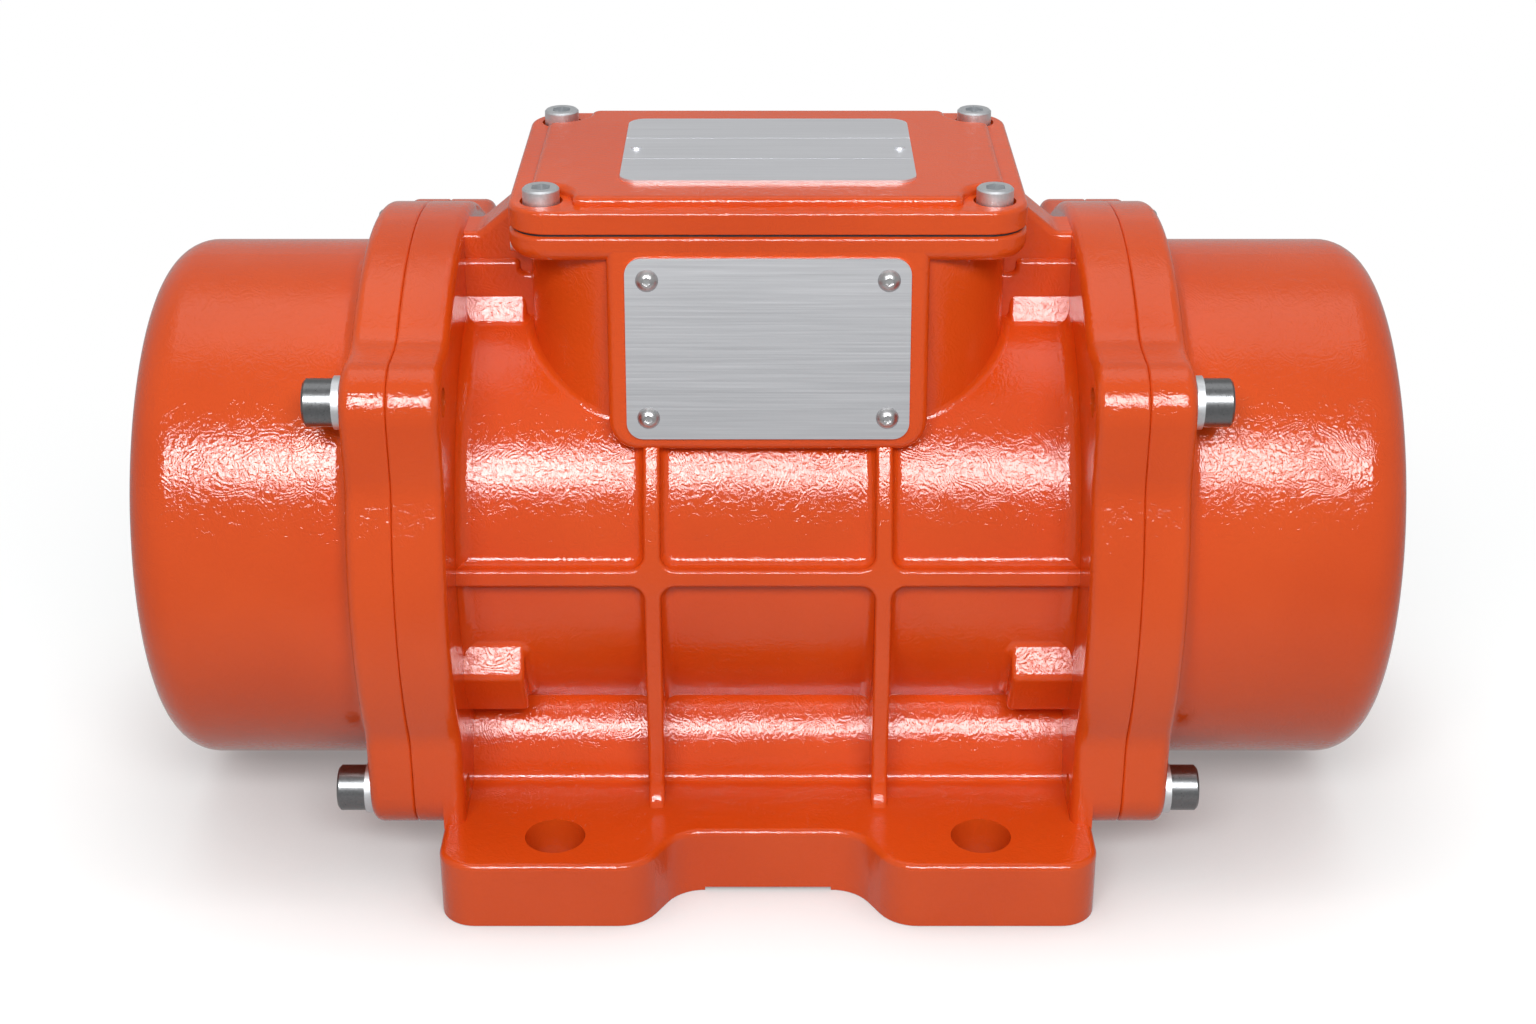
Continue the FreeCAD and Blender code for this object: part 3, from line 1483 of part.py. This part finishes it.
# ---------------------------------------------------------------- nameplate
def nameplate():
    """Bare metal plate on the front wall."""
    low = nameplate_top_gap + nameplate_height
    outline = [
        (-nameplate_half_x, nameplate_top_gap, nameplate_r),
        (-nameplate_half_x, low, nameplate_r),
        (nameplate_half_x, low, nameplate_r),
        (nameplate_half_x, nameplate_top_gap, nameplate_r),
    ]
    body = prism(outline, on_wall(0), wall_outward * nameplate_thickness)
    hole_r = nameplate_pin_r + laid_gap
    return body.cut([wall_pin(x, v, 0, hole_r) for x, v in nameplate_screw_places()])


def nameplate_screws():
    """Button head screws with a socket drive."""
    r = nameplate_screw_r
    h = nameplate_screw_height
    ball_r = (r * r + h * h) / (2 * h)
    dome = Part.makeSphere(ball_r, Vector(0, 0, h - ball_r))
    head = dome.common(Part.makeCylinder(r, h + cut_over))
    length = nameplate_thickness + nameplate_pin_depth
    pin = Part.makeCylinder(nameplate_pin_r, length, Vector(0, 0, -length))
    depth = nameplate_socket_depth
    drive = hexagon(nameplate_socket, on_plan(h - depth), Z_AXIS * (depth + cut_over))
    screw = head.fuse(pin).cut(drive)
    face = on_wall(nameplate_thickness)
    return group([placed(screw, face(x, v), wall_outward) for x, v in nameplate_screw_places()])


# ---------------------------------------------------------------- gland and earth screw
def across_gland(y):
    """Section plane across the gland: u is X and v is Z about its centre line."""
    return lambda u, v: Vector(u, y, gland_z + v)


def cable_gland_body():
    """Body screwed into the neck's wall, with a hexagon outside and a seat for the seal."""
    spigot_r = gland_thread_r - gland_spigot_step
    spigot_end = gland_shoulder + gland_body_length - gland_spigot_step
    thread = cross_rod(gland_start, neck_half_y, gland_thread_r)
    flats = hexagon(gland_hex_flats, across_gland(neck_half_y), Y_AXIS * gland_hex_length)
    spigot = cross_rod(gland_shoulder - gland_spigot_step, spigot_end, spigot_r)
    bore = cross_rod(gland_start - cut_over, gland_end, gland_bore_r)
    pocket = cross_rod(gland_shoulder, gland_end, gland_seal_r)
    return thread.multiFuse([flats, spigot]).cut([bore, pocket]).removeSplitter()


def cable_gland_seal():
    end = gland_shoulder + gland_body_length + gland_seal_overrun
    ring = cross_rod(gland_shoulder, end, gland_seal_r - gland_seal_gap)
    return ring.cut(cross_rod(gland_start, gland_end, gland_bore_r))


def cable_gland_nut():
    """Domed clamping nut, hexagonal at its root."""
    hex_length = gland_nut_length * gland_nut_hex_share
    flats = hexagon(gland_nut_flats, across_gland(gland_shoulder), Y_AXIS * hex_length)
    dome = cross_rod(gland_shoulder, gland_end, gland_nut_r)
    dome = dome.makeFillet(gland_nut_edge_r, [e for e in dome.Edges if e.BoundBox.YMin > gland_end - near])
    seat_r = gland_thread_r - gland_spigot_step + thread_clearance
    seat_end = gland_shoulder + gland_body_length + gland_seal_overrun
    seat = cross_rod(gland_shoulder - cut_over, seat_end, seat_r)
    bore = cross_rod(gland_start, gland_end + cut_over, gland_bore_r)
    return flats.fuse(dome).cut([seat, bore]).removeSplitter()


def earth_screw():
    """External earth terminal: a slotted screw with its clamping washer."""
    face = Vector(-neck_half_x, earth_screw_y, box_top - earth_screw_drop)
    washer = Part.makeCylinder(earth_washer_r, earth_washer, face, X_AXIS * -1)
    seat = face - X_AXIS * earth_washer
    head = Part.makeCylinder(earth_head_r, earth_screw_head, seat, X_AXIS * -1)
    shank = Part.makeCylinder(earth_thread_r, earth_thread_depth, face, X_AXIS)
    out = Vector(earth_screw_head + cut_over, earth_slot_width / 2, earth_washer_r)
    slot_length = earth_slot_depth + cut_over
    slot = Part.makeBox(slot_length, earth_slot_width, 2 * earth_washer_r, seat - out)
    return washer.multiFuse([head, shank]).cut(slot).removeSplitter()


# ---------------------------------------------------------------- output
SINGLE_NODES = [
    stator_housing, cover_bolts, cover_spring_washers, bearing_carrier_bolts, bearing_cap_screws,
    rotor_shaft, rotor_core, rotor_end_rings, weight_keys, thrust_washers, circlips,
    stator_core, stator_winding, winding_leads,
    terminal_block, terminal_studs, terminal_block_screws, star_link,
    terminal_box_lid, lid_gasket, lid_screws, lid_plate, lid_plate_rivets,
    nameplate, nameplate_screws, cable_gland_body, cable_gland_seal, cable_gland_nut, earth_screw,
]
PAIRED_NODES = [
    end_cover, cover_o_ring, bearing_carrier, bearing_outer_ring, bearing_inner_ring,
    bearing_rollers, bearing_cage, bearing_cap,
    spacer_sleeve, fixed_weight, setting_disc, adjustable_weight, clamp_bolt,
]


def build():
    """Every node of the motor, by name; the paired ones are made for the right end and mirrored."""
    nodes = {make.__name__: make() for make in SINGLE_NODES}
    for make in PAIRED_NODES:
        shape = make()
        nodes[make.__name__ + "_right"] = shape
        nodes[make.__name__ + "_left"] = mirrored(shape)
    return nodes


def export(nodes):
    os.makedirs("parts", exist_ok=True)
    for name, shape in nodes.items():
        shape.exportStep(os.path.join("parts", name + ".step"))
        volume = sum(solid.Volume for solid in shape.Solids) / 1000
        print(f"{name:24s} solids {len(shape.Solids):3d}  volume {volume:9.2f} cm3  valid {shape.isValid()}")


if __name__ == "__main__":
    export(build())
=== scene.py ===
"""Looks of a foot-mounted vibration motor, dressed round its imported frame.

Everything is in metres, in the frame's own axes: X along the shaft, Y across the feet and
Z up from the mounting face. The nameplate faces -Y.
"""
import json
import math

import bpy
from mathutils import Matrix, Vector


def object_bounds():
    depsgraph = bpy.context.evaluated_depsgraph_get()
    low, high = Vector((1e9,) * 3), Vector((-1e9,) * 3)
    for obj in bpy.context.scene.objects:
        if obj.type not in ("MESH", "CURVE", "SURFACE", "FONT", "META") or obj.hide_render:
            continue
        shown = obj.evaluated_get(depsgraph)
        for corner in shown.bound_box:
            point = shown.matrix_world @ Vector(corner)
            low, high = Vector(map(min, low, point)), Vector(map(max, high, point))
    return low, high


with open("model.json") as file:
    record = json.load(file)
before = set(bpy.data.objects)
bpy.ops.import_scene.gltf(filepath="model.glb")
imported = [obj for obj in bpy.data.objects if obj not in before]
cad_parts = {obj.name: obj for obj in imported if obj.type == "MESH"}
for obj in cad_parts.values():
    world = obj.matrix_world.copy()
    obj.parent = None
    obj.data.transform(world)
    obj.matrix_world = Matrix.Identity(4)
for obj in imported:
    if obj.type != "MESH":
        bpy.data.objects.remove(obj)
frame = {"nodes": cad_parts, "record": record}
cad_low, cad_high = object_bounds()

# ---------------------------------------------------------------- camera, lights and floor
CAMERA_PLACE = (0.0, -0.6493, 0.3958)
CAMERA_DIP = 25.92            # degrees below the horizon
CAMERA_LENS = 55.85           # mm
SENSOR_WIDTH = 36.0           # mm
AIM = (0.0, 0.0, 0.10)        # every lamp faces this point
SIDE_BOX_SIZE = (0.48, 0.38)
SIDE_BOX_PLACE = (0.275, -1.06, 0.93)
SIDE_BOX_POWER = 6.6
SIDE_CARD_POWER = {-1: 6.6, 1: 4.6}    # seen in gloss only
SIDE_CARD_SHIFT = (0.0, -0.02, 0.02)   # behind its box, as in the same place it doesn't show
FRONT_BOX_SIZE = (0.10, 0.38)
FRONT_BOX_PLACE = (0.0, -1.08, 0.93)
FRONT_BOX_POWER = 0.45
TOP_BOX_SIZE = (1.40, 0.90)
TOP_BOX_PLACE = (0.0, 0.35, 1.50)
TOP_BOX_POWER = 3.2
TOP_FILL_POWER = 5.4          # not seen in gloss
WORLD_LIGHT = 0.25
WORLD_IN_GLOSS = 0.43
FLOOR_HALF = 6.0
FLOOR_GAP = 0.0002            # below the mounting face
FLOOR_LIT = (0.92, 0.95, 0.95)
FLOOR_PAINTED_SHADE = (0.42, 0.43, 0.43)   # painted shade on the floor, where the object closes it in
PAINTED_SHADE_REACH = 0.05           # how near a surface has to be to close the floor in and give it painted shade
FLOOR_BOUNCE = (0.42, 0.42, 0.42)   # its colour to all but the camera
FLOOR_LIFT = 0.24             # glow added round the object, where its shadow lies
WHITE_FROM, WHITE_TO = 0.15, 0.42   # distances over which the floor turns plain white
WHITE = (1.0, 1.0, 1.0, 1.0)
MIX_FIRST, MIX_SECOND, MIX_RESULT = 6, 7, 2   # the colour sockets of a Mix node


def add_camera():
    data = bpy.data.cameras.new("camera")
    data.lens = CAMERA_LENS
    data.sensor_width = SENSOR_WIDTH
    data.dof.use_dof = False
    camera = bpy.data.objects.new("camera", data)
    camera.location = CAMERA_PLACE
    camera.rotation_euler = (math.radians(90.0 - CAMERA_DIP), 0.0, 0.0)
    bpy.context.scene.collection.objects.link(camera)
    bpy.context.scene.camera = camera


def add_softbox(name, place, size, power, in_diffuse=True, in_gloss=True):
    """Area lamp that faces AIM."""
    data = bpy.data.lights.new(name, "AREA")
    data.shape = "RECTANGLE"
    data.size, data.size_y = size
    data.energy = power
    lamp = bpy.data.objects.new(name, data)
    lamp.location = place
    lamp.rotation_mode = "QUATERNION"
    lamp.rotation_quaternion = (Vector(AIM) - Vector(place)).to_track_quat("-Z", "Y")
    lamp.visible_diffuse = in_diffuse
    lamp.visible_glossy = in_gloss
    bpy.context.scene.collection.objects.link(lamp)


def linked_math(tree, operation, first, second):
    """Math node; each of its two inputs is a socket or a number."""
    node = tree.nodes.new("ShaderNodeMath")
    node.operation = operation
    for socket, value in zip(node.inputs, (first, second)):
        if isinstance(value, (int, float)):
            socket.default_value = value
        else:
            tree.links.new(value, socket)
    return node.outputs[0]


def add_world():
    """Even light, which is white to the camera and brighter in gloss than on matt surfaces."""
    world = bpy.data.worlds.new("studio")
    bpy.context.scene.world = world
    world.use_nodes = True
    tree = world.node_tree
    background = tree.nodes["Background"]
    background.inputs["Color"].default_value = WHITE
    path = tree.nodes.new("ShaderNodeLightPath").outputs
    in_gloss = linked_math(tree, "MAXIMUM", path["Is Glossy Ray"], path["Is Transmission Ray"])
    lift = linked_math(tree, "MULTIPLY", in_gloss, WORLD_IN_GLOSS - WORLD_LIGHT)
    strength = linked_math(tree, "ADD", lift, WORLD_LIGHT)
    strength = linked_math(tree, "MAXIMUM", strength, path["Is Camera Ray"])
    tree.links.new(strength, background.inputs["Strength"])


def mix_colour(nodes):
    """Mix node for two colours."""
    node = nodes.new("ShaderNodeMix")
    node.data_type = "RGBA"
    return node


def floor_colour(tree, to_camera):
    """Pale, with painted shade where the object closes it in, and darker again to all but the camera."""
    nodes, links = tree.nodes, tree.links
    # painted shade: ambient occlusion darkens the floor's colour near the object
    painted_shade_ao = nodes.new("ShaderNodeAmbientOcclusion")
    painted_shade_ao.inputs["Distance"].default_value = PAINTED_SHADE_REACH
    shade = mix_colour(nodes)
    shade.inputs[MIX_FIRST].default_value = (*FLOOR_PAINTED_SHADE, 1.0)
    shade.inputs[MIX_SECOND].default_value = (*FLOOR_LIT, 1.0)
    links.new(painted_shade_ao.outputs["AO"], shade.inputs[0])
    bounce = mix_colour(nodes)
    bounce.inputs[MIX_SECOND].default_value = (*FLOOR_BOUNCE, 1.0)
    links.new(linked_math(tree, "SUBTRACT", 1.0, to_camera), bounce.inputs[0])
    links.new(shade.outputs[MIX_RESULT], bounce.inputs[MIX_FIRST])
    return bounce.outputs[MIX_RESULT]


def how_far_out(tree):
    """0 near the object and 1 where the floor is plain white."""
    length = tree.nodes.new("ShaderNodeVectorMath")
    length.operation = "LENGTH"
    tree.links.new(tree.nodes.new("ShaderNodeTexCoord").outputs["Object"], length.inputs[0])
    out = tree.nodes.new("ShaderNodeMapRange")
    out.interpolation_type = "SMOOTHSTEP"
    out.inputs["From Min"].default_value = WHITE_FROM
    out.inputs["From Max"].default_value = WHITE_TO
    tree.links.new(length.outputs["Value"], out.inputs["Value"])
    return out.outputs["Result"]


def floor_material():
    """It keeps the object's shadow, and turns plain white to the camera further out."""
    material = bpy.data.materials.new("floor")
    material.use_nodes = True
    tree = material.node_tree
    nodes, links = tree.nodes, tree.links
    nodes.clear()
    output = nodes.new("ShaderNodeOutputMaterial")
    path = nodes.new("ShaderNodeLightPath").outputs
    diffuse = nodes.new("ShaderNodeBsdfDiffuse")
    links.new(floor_colour(tree, path["Is Camera Ray"]), diffuse.inputs["Color"])
    seen = linked_math(tree, "MAXIMUM", path["Is Camera Ray"], path["Is Glossy Ray"])
    seen = linked_math(tree, "MAXIMUM", seen, path["Is Transmission Ray"])
    lift = nodes.new("ShaderNodeEmission")
    links.new(linked_math(tree, "MULTIPLY", seen, FLOOR_LIFT), lift.inputs["Strength"])
    near = nodes.new("ShaderNodeAddShader")
    links.new(diffuse.outputs[0], near.inputs[0])
    links.new(lift.outputs[0], near.inputs[1])
    far = nodes.new("ShaderNodeEmission")
    in_gloss = linked_math(tree, "MULTIPLY", seen, WORLD_IN_GLOSS)
    brightness = linked_math(tree, "MAXIMUM", in_gloss, path["Is Camera Ray"])
    links.new(brightness, far.inputs["Strength"])
    blend = nodes.new("ShaderNodeMixShader")
    links.new(linked_math(tree, "MULTIPLY", seen, how_far_out(tree)), blend.inputs[0])
    links.new(near.outputs[0], blend.inputs[1])
    links.new(far.outputs[0], blend.inputs[2])
    links.new(blend.outputs[0], output.inputs["Surface"])
    return material


def add_floor():
    mesh = bpy.data.meshes.new("floor")
    corners = [(-FLOOR_HALF, -FLOOR_HALF, 0), (FLOOR_HALF, -FLOOR_HALF, 0)]
    corners += [(FLOOR_HALF, FLOOR_HALF, 0), (-FLOOR_HALF, FLOOR_HALF, 0)]
    mesh.from_pydata(corners, [], [(0, 1, 2, 3)])
    floor = bpy.data.objects.new("floor", mesh)
    floor.location.z = cad_low.z - FLOOR_GAP
    bpy.context.scene.collection.objects.link(floor)
    mesh.materials.append(floor_material())


add_camera()
for side in (-1, 1):
    place = (side * SIDE_BOX_PLACE[0], SIDE_BOX_PLACE[1], SIDE_BOX_PLACE[2])
    add_softbox(f"side_box_{side}", place, SIDE_BOX_SIZE, SIDE_BOX_POWER)
    behind = Vector(place) + Vector(SIDE_CARD_SHIFT)
    add_softbox(f"side_card_{side}", behind, SIDE_BOX_SIZE, SIDE_CARD_POWER[side], in_diffuse=False)
add_softbox("front_box", FRONT_BOX_PLACE, FRONT_BOX_SIZE, FRONT_BOX_POWER)
add_softbox("top_box", TOP_BOX_PLACE, TOP_BOX_SIZE, TOP_BOX_POWER)
add_softbox("top_fill", TOP_BOX_PLACE, TOP_BOX_SIZE, TOP_FILL_POWER, in_gloss=False)
add_world()
add_floor()
bpy.context.scene.view_settings.view_transform = "Standard"


# ---------------------------------------------------------------- material helpers
class Shader:
    """A node material under construction, with one Principled shader."""

    def __init__(self, name, roughness, metallic=0.0):
        self.material = bpy.data.materials.new(name)
        self.material.use_nodes = True
        self.nodes = self.material.node_tree.nodes
        self.links = self.material.node_tree.links
        self.bsdf = self.nodes["Principled BSDF"]
        self.bsdf.inputs["Roughness"].default_value = roughness
        self.bsdf.inputs["Metallic"].default_value = metallic
        self.place = self.nodes.new("ShaderNodeTexCoord").outputs["Object"]

    def stretched(self, scale):
        """Object coordinates in metres, stretched by a factor along each axis."""
        mapping = self.nodes.new("ShaderNodeMapping")
        mapping.inputs["Scale"].default_value = scale
        self.links.new(self.place, mapping.inputs["Vector"])
        return mapping.outputs["Vector"]

    def noise(self, scale, detail=2.0, roughness=0.5, distortion=0.0, place=None):
        node = self.nodes.new("ShaderNodeTexNoise")
        node.inputs["Scale"].default_value = scale
        node.inputs["Detail"].default_value = detail
        node.inputs["Roughness"].default_value = roughness
        node.inputs["Distortion"].default_value = distortion
        self.links.new(place or self.place, node.inputs["Vector"])
        return node.outputs["Fac"]

    def spread(self, value, low, high, out_low=0.0, out_high=1.0):
        """value from low to high, mapped to out_low to out_high."""
        node = self.nodes.new("ShaderNodeMapRange")
        node.inputs["From Min"].default_value = low
        node.inputs["From Max"].default_value = high
        node.inputs["To Min"].default_value = out_low
        node.inputs["To Max"].default_value = out_high
        self.links.new(value, node.inputs["Value"])
        return node.outputs["Result"]

    def sine(self, value, turns):
        """Sine of value times turns, which draws rings round the hills of a noise."""
        tree = self.material.node_tree
        return linked_math(tree, "SINE", linked_math(tree, "MULTIPLY", value, turns), 0.0)

    def mix(self, factor, dark, light):
        node = mix_colour(self.nodes)
        self.links.new(factor, node.inputs[0])
        node.inputs[MIX_FIRST].default_value = (*dark, 1.0)
        node.inputs[MIX_SECOND].default_value = (*light, 1.0)
        return node.outputs[MIX_RESULT]

    def colour(self, value):
        self.links.new(value, self.bsdf.inputs["Base Color"])

    def roughness(self, value):
        self.links.new(value, self.bsdf.inputs["Roughness"])

    def bump(self, height, distance, after=None, coat=False):
        """Bump that rises by distance, in metres, where height is 1; it adds to the one given as after."""
        node = self.nodes.new("ShaderNodeBump")
        node.inputs["Distance"].default_value = distance
        self.links.new(height, node.inputs["Height"])
        if after is not None:
            self.links.new(after, node.inputs["Normal"])
        self.links.new(node.outputs["Normal"], self.bsdf.inputs["Normal"])
        if coat:
            self.links.new(node.outputs["Normal"], self.bsdf.inputs["Coat Normal"])
        return node.outputs["Normal"]


# ---------------------------------------------------------------- materials
DRIFT_BAND = (0.35, 0.65)     # part of a noise's range that carries a slow change of colour
GRAIN_BAND = (0.3, 0.7)       # the same for a metal's grain
GRAIN_ROUGHNESS = 0.03        # roughness that the grain adds or takes
SWELL_HEIGHT = 0.00006
RING_HEIGHT = 0.00001
RING_TURNS = 110.0
PEEL_HEIGHT = 0.00012


def enamel():
    """Thick glossy orange-red enamel over a casting: swell, orange peel in rings, and colour drift."""
    s = Shader("enamel", 0.45)
    drift = s.spread(s.noise(14.0, 3.0), *DRIFT_BAND)
    s.colour(s.mix(drift, (0.680, 0.070, 0.006), (0.750, 0.086, 0.009)))
    s.bsdf.inputs["Specular IOR Level"].default_value = 0.0
    s.bsdf.inputs["Coat Weight"].default_value = 1.0
    s.bsdf.inputs["Coat Roughness"].default_value = 0.05
    s.bsdf.inputs["Coat IOR"].default_value = 1.5
    swell = s.bump(s.noise(120.0, 2.0), SWELL_HEIGHT)
    rings = s.sine(s.noise(95.0, 1.0, 0.5, 0.4), RING_TURNS)
    ripple = s.bump(rings, RING_HEIGHT, after=swell)
    s.bump(s.noise(620.0, 2.0, 0.6, 1.4), PEEL_HEIGHT, after=ripple, coat=True)
    return s.material


def metal(name, dark, light, roughness, grain=(1600.0, 1600.0, 1600.0), grain_depth=0.000001):
    """Bare metal with fine grain in its colour, gloss and height."""
    s = Shader(name, roughness, 1.0)
    lines = s.noise(1.0, 3.0, 0.6, place=s.stretched(grain))
    s.colour(s.mix(s.spread(lines, *GRAIN_BAND), dark, light))
    s.roughness(s.spread(lines, *GRAIN_BAND, roughness - GRAIN_ROUGHNESS, roughness + GRAIN_ROUGHNESS))
    s.bump(lines, grain_depth)
    return s.material


def zinc_steel():
    return metal("zinc_steel", (0.64, 0.66, 0.68), (0.71, 0.73, 0.75), 0.45)


def zinc_head():
    """Cover screws: written darker than bare zinc, as they stand in the full gloss of the side lamps."""
    return metal("zinc_head", (0.18, 0.185, 0.19), (0.22, 0.225, 0.23), 0.30)


def stainless():
    return metal("stainless", (0.50, 0.50, 0.51), (0.56, 0.56, 0.56), 0.30)


def plate_aluminium():
    """Satin plate, brushed along X."""
    return metal("plate_aluminium", (0.72, 0.73, 0.76), (0.80, 0.81, 0.84), 0.33, (20.0, 2600.0, 2600.0))


def lid_aluminium_painted_light():
    """Plate on the lid and its rivets: brushed like the nameplate, but rougher, and written paler as
    painted light for the lid's top.
    """
    return metal("lid_aluminium_painted_light", (0.80, 0.81, 0.84), (0.88, 0.89, 0.92), 0.46, (20.0, 2600.0, 2600.0))


def bearing_steel():
    return metal("bearing_steel", (0.56, 0.56, 0.57), (0.66, 0.66, 0.66), 0.16)


def shaft_steel():
    return metal("shaft_steel", (0.45, 0.45, 0.46), (0.58, 0.58, 0.58), 0.26, (2400.0, 60.0, 60.0))


def lamination():
    """Stack of thin sheets: stripes along the shaft."""
    return metal("lamination", (0.18, 0.19, 0.21), (0.42, 0.43, 0.45), 0.40, (2000.0, 20.0, 20.0), 0.00004)


def rotor_aluminium():
    return metal("rotor_aluminium", (0.55, 0.56, 0.57), (0.70, 0.71, 0.72), 0.38)


def cage_brass():
    return metal("cage_brass", (0.60, 0.42, 0.14), (0.74, 0.56, 0.24), 0.28)


def carrier_iron():
    return metal("carrier_iron", (0.16, 0.16, 0.17), (0.27, 0.27, 0.28), 0.50)


def weight_steel():
    return metal("weight_steel", (0.15, 0.15, 0.16), (0.30, 0.29, 0.29), 0.46)


def winding_copper():
    """Varnished wire bundles under tape."""
    s = Shader("winding_copper", 0.35)
    strands = s.noise(1.0, 2.0, 0.5, place=s.stretched((700.0, 200.0, 200.0)))
    s.colour(s.mix(s.spread(strands, *DRIFT_BAND), (0.22, 0.06, 0.02), (0.50, 0.20, 0.07)))
    s.bump(strands, 0.0003)
    return s.material


def soft_solid(name, dark, light, roughness, grain, depth):
    """Rubber or moulding: matt, with a fine uneven skin."""
    s = Shader(name, roughness)
    skin = s.noise(grain, 3.0)
    s.colour(s.mix(s.spread(skin, *DRIFT_BAND), dark, light))
    s.bump(skin, depth)
    return s.material


def rubber():
    return soft_solid("rubber", (0.012, 0.012, 0.013), (0.030, 0.030, 0.031), 0.7, 900.0, 0.00004)


def lead_insulation():
    return soft_solid("lead_insulation", (0.04, 0.04, 0.05), (0.08, 0.08, 0.09), 0.45, 600.0, 0.00003)


def moulding():
    return soft_solid("moulding", (0.035, 0.018, 0.010), (0.070, 0.035, 0.018), 0.38, 500.0, 0.00002)


def gland_nylon():
    return soft_solid("gland_nylon", (0.20, 0.21, 0.22), (0.27, 0.28, 0.29), 0.42, 700.0, 0.00002)


# ---------------------------------------------------------------- finish of each node
FINISHES = {
    "enamel": enamel,
    "zinc_steel": zinc_steel,
    "zinc_head": zinc_head,
    "stainless": stainless,
    "plate_aluminium": plate_aluminium,
    "lid_aluminium_painted_light": lid_aluminium_painted_light,
    "rubber": rubber,
    "bearing_steel": bearing_steel,
    "cage_brass": cage_brass,
    "carrier_iron": carrier_iron,
    "shaft_steel": shaft_steel,
    "lamination": lamination,
    "rotor_aluminium": rotor_aluminium,
    "winding_copper": winding_copper,
    "lead_insulation": lead_insulation,
    "weight_steel": weight_steel,
    "moulding": moulding,
    "gland_nylon": gland_nylon,
}
OWN_FINISHES = {
    "cover_bolts": "zinc_head",
    # the lid plate and its rivets take a paler copy of plate aluminium, painted light
    "lid_plate": "lid_aluminium_painted_light",
    "lid_plate_rivets": "lid_aluminium_painted_light",
}


def dress_nodes():
    """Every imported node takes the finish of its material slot, or its own."""
    finished = {name: make() for name, make in FINISHES.items()}
    for entry in frame["record"]["subparts"]:
        node = frame["nodes"][entry["node"]]
        node.data.materials.clear()
        finish = OWN_FINISHES.get(entry["node"], entry["material_slot"])
        node.data.materials.append(finished[finish])


dress_nodes()
